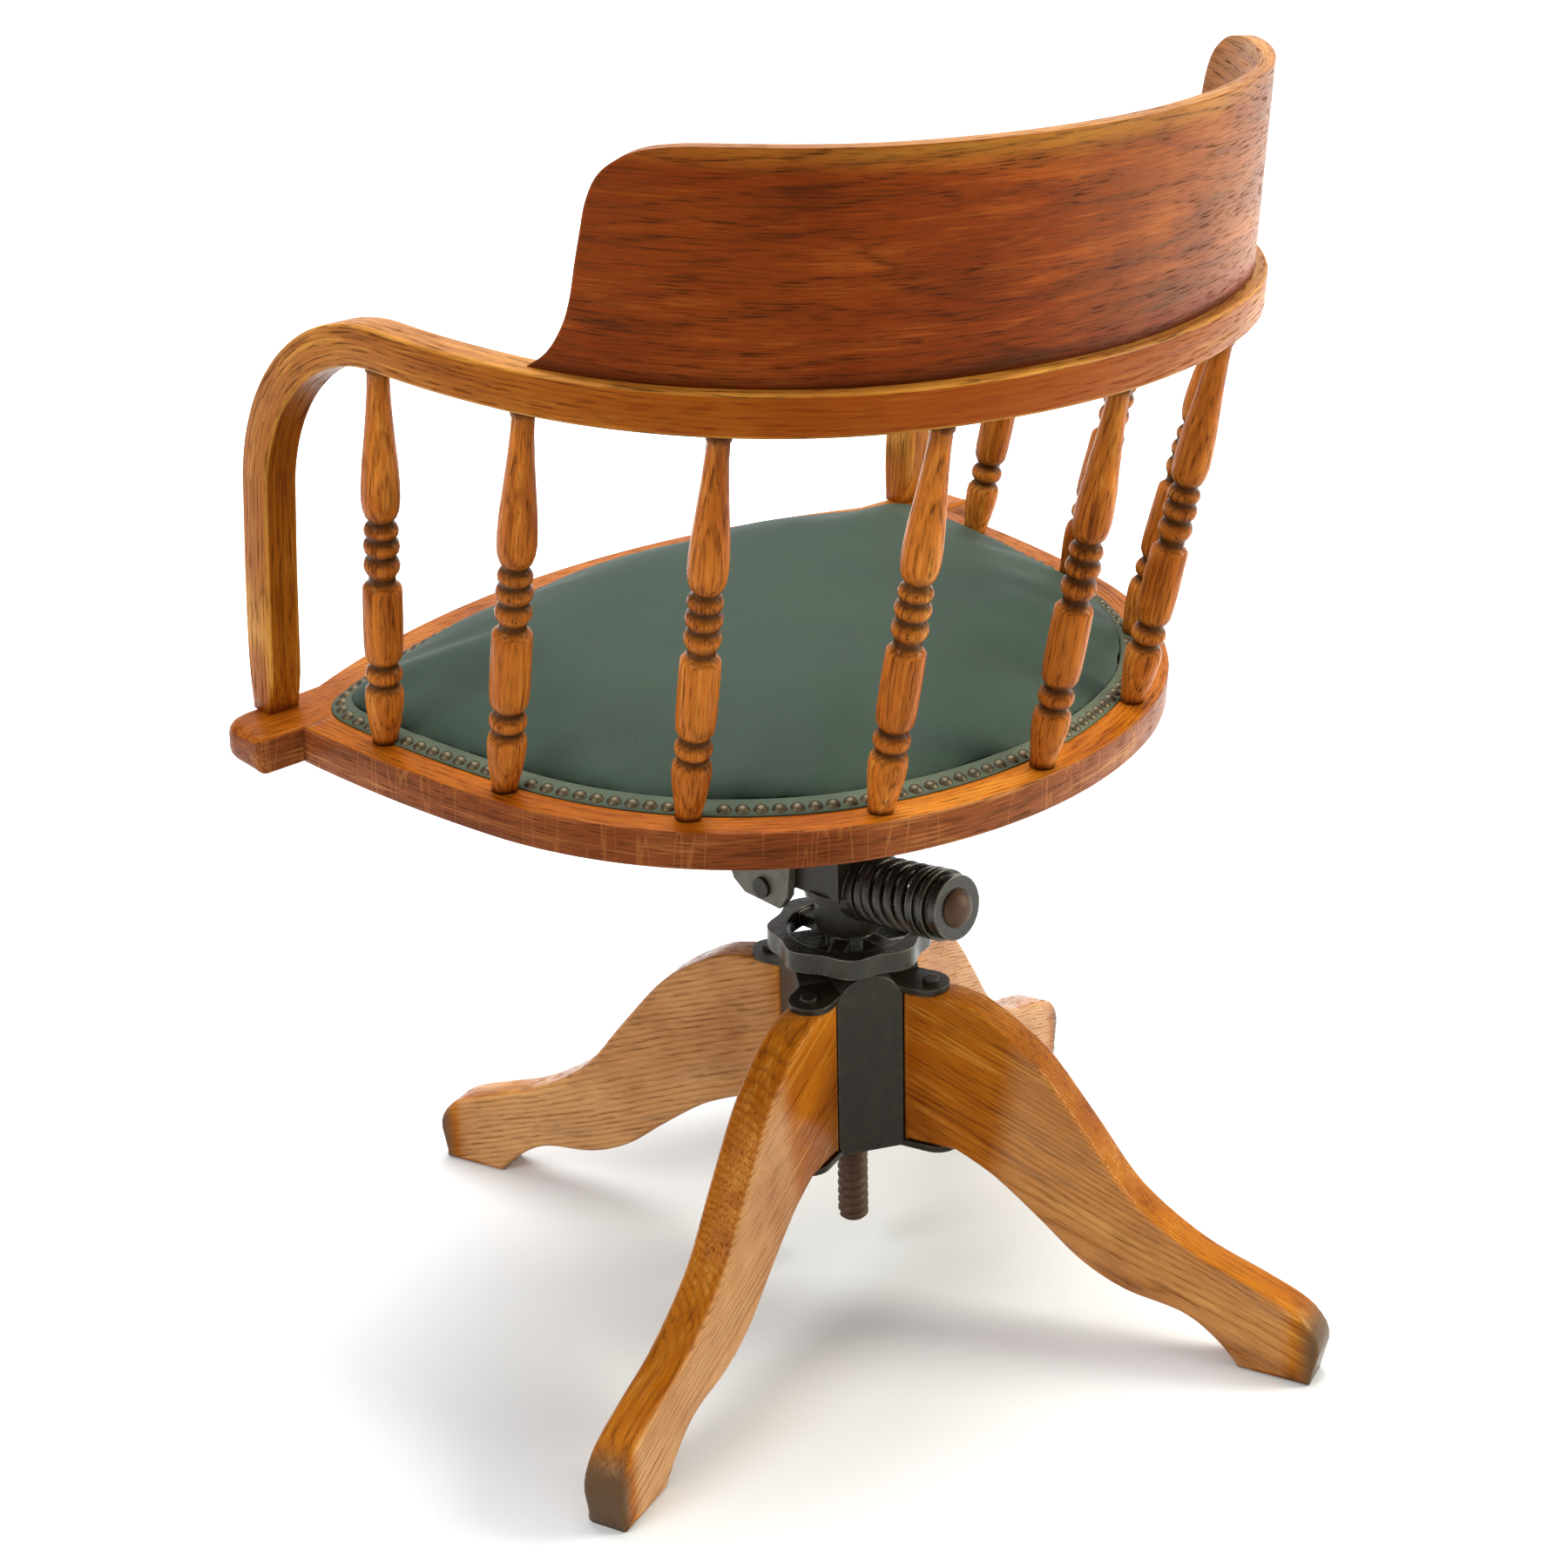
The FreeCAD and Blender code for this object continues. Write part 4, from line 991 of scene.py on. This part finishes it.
def make_spring():
    count, line = int(TURNS * WIRE_STEPS), []
    for k in range(count + 1):
        open_share = 0.5 - 0.5 * cos(pi * min(1.0, min(k, count - k) / count / CLOSED_END))
        line.append((2 * pi * TURNS * k / count, CLOSED_PITCH + open_share))
    total = sum(rise for a, rise in line)
    walked, path, points = 0.0, [], []
    span = SPRING_B - SPRING_A - 2 * WIRE_R
    for a, rise in line:
        path.append(ROD_ZERO + ROD_WAY * (SPRING_A + WIRE_R + span * walked / total)
                    + COIL_R * (ROD_UP * cos(a) + Vector((1, 0, 0)) * sin(a)))
        walked += rise
    for k, p in enumerate(path):
        ahead = (path[min(k + 1, count)] - path[max(k - 1, 0)]).normalized()
        out = (p - ROD_ZERO - ROD_WAY * (p - ROD_ZERO).dot(ROD_WAY)).normalized()
        other = ahead.cross(out).normalized()
        points += [p + WIRE_R * (out * c + other * d) for c, d in turn_round(WIRE_SIDES)]
    return mesh_piece("spring_coil", points, skin(len(path), WIRE_SIDES), steel_spring)


spring = make_spring()
stand_for(spring, "lift", "spring_steel", "tension_spring")
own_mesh(spring)

# %% [markdown]
# The hub, the wheel, the tilt casting and the irons keep their shape from the CAD model and take cast or worn iron,
# whose softened normals round their edges.
# %% Finishes of the CAD pieces
oak_plain, _, fill_plain = new_finish("oak_under_seat")
fill_plain({"Base Color": "#6e4526"})
FINISH = {iron_black: "hub_casting tilt_casting cross_pin leg_screws iron_screws",
          iron_handled: "hand_wheel tension_knob", iron_grey: "seat_iron_left seat_iron_right",
          steel_rusty: "thrust_washer pivot_pin tension_rod rod_cap", oak_plain: "seat_board"}
for finish, names in FINISH.items():
    for node in names.split():
        nodes[node].data.materials.clear()
        nodes[node].data.materials.append(finish)
    print(finish.name, "on", names)

# %% [markdown]
# The floor is a flat pale sheet that glows to white away from the chair, for the camera and in reflections, so the
# chair keeps its shadow. Light comes from a large soft lamp above and a little beyond the chair, weaker ones at both
# sides and an even white sky.
# %% The studio
FLOOR_HALF = 9.0


def watched(node):
    """One for rays of the camera and of reflections and glass, and nothing for the light on the chair."""
    ways = [node("LightPath", out=f"Is {kind} Ray") for kind in ("Camera", "Glossy", "Transmission")]
    return node("Math", (node("Math", ways[:2], operation="MAXIMUM"), ways[2]), operation="MAXIMUM")


def studio_floor():
    corners = [(x * FLOOR_HALF, y * FLOOR_HALF, 0) for x, y in ((-1, -1), (1, -1), (1, 1), (-1, 1))]
    data = plain_mesh("studio_floor", corners, [(0, 1, 2, 3)])
    made, node, fill_shader = new_finish("studio_paper")
    seen_by = watched(node)
    far = node("VectorMath", (node("TexCoord", out="Object"),), "Value", operation="LENGTH")
    glow = node("MapRange", {"Value": far, "From Min": 0.55, "From Max": 1.6})
    fill_shader({
        "Base Color": node("Mix", {0: seen_by, 6: (0.6, 0.6, 0.6, 1.0), 7: (0.875, 0.9, 0.91, 1.0)}, **COLOUR),
        "Roughness": 1.0, "Specular IOR Level": 0.0, "Emission Color": (1, 1, 1, 1),
        "Emission Strength": node("Math", (glow, seen_by), **TIMES)})
    data.materials.append(made)
    hang("studio_floor", data)


def lamp(name, place, target, size, power, tint=(1, 1, 1)):
    data = bpy.data.lights.new(name, "AREA")
    data.shape, data.size, data.energy, data.color = "DISK", size, power, tint
    way = Vector(target) - Vector(place)
    hang(name, data).matrix_world = Matrix.Translation(place) @ way.to_track_quat("-Z", "Y").to_matrix().to_4x4()


studio_floor()
lamp("lamp_top", (-0.55, -0.55, 3.0), (0, 0, 0.4), 2.2, 92)
lamp("lamp_left", (2.6, -0.2, 1.9), (0, 0, 0.4), 1.4, 34)
lamp("lamp_right", (-1.9, 1.9, 1.4), (0, 0, 0.5), 1.2, 68, (1.0, 0.98, 0.84))
world = bpy.data.worlds.new("studio")
world.use_nodes = True
scene.world = world
sky = partial(add, world.node_tree)
glow = sky("MapRange", {"Value": watched(sky), "To Min": 0.58, "To Max": 1.0})
fill(world.node_tree, world.node_tree.nodes["Background"], {"Color": (1, 1, 1, 1), "Strength": glow})
scene.view_settings.view_transform = "Standard"
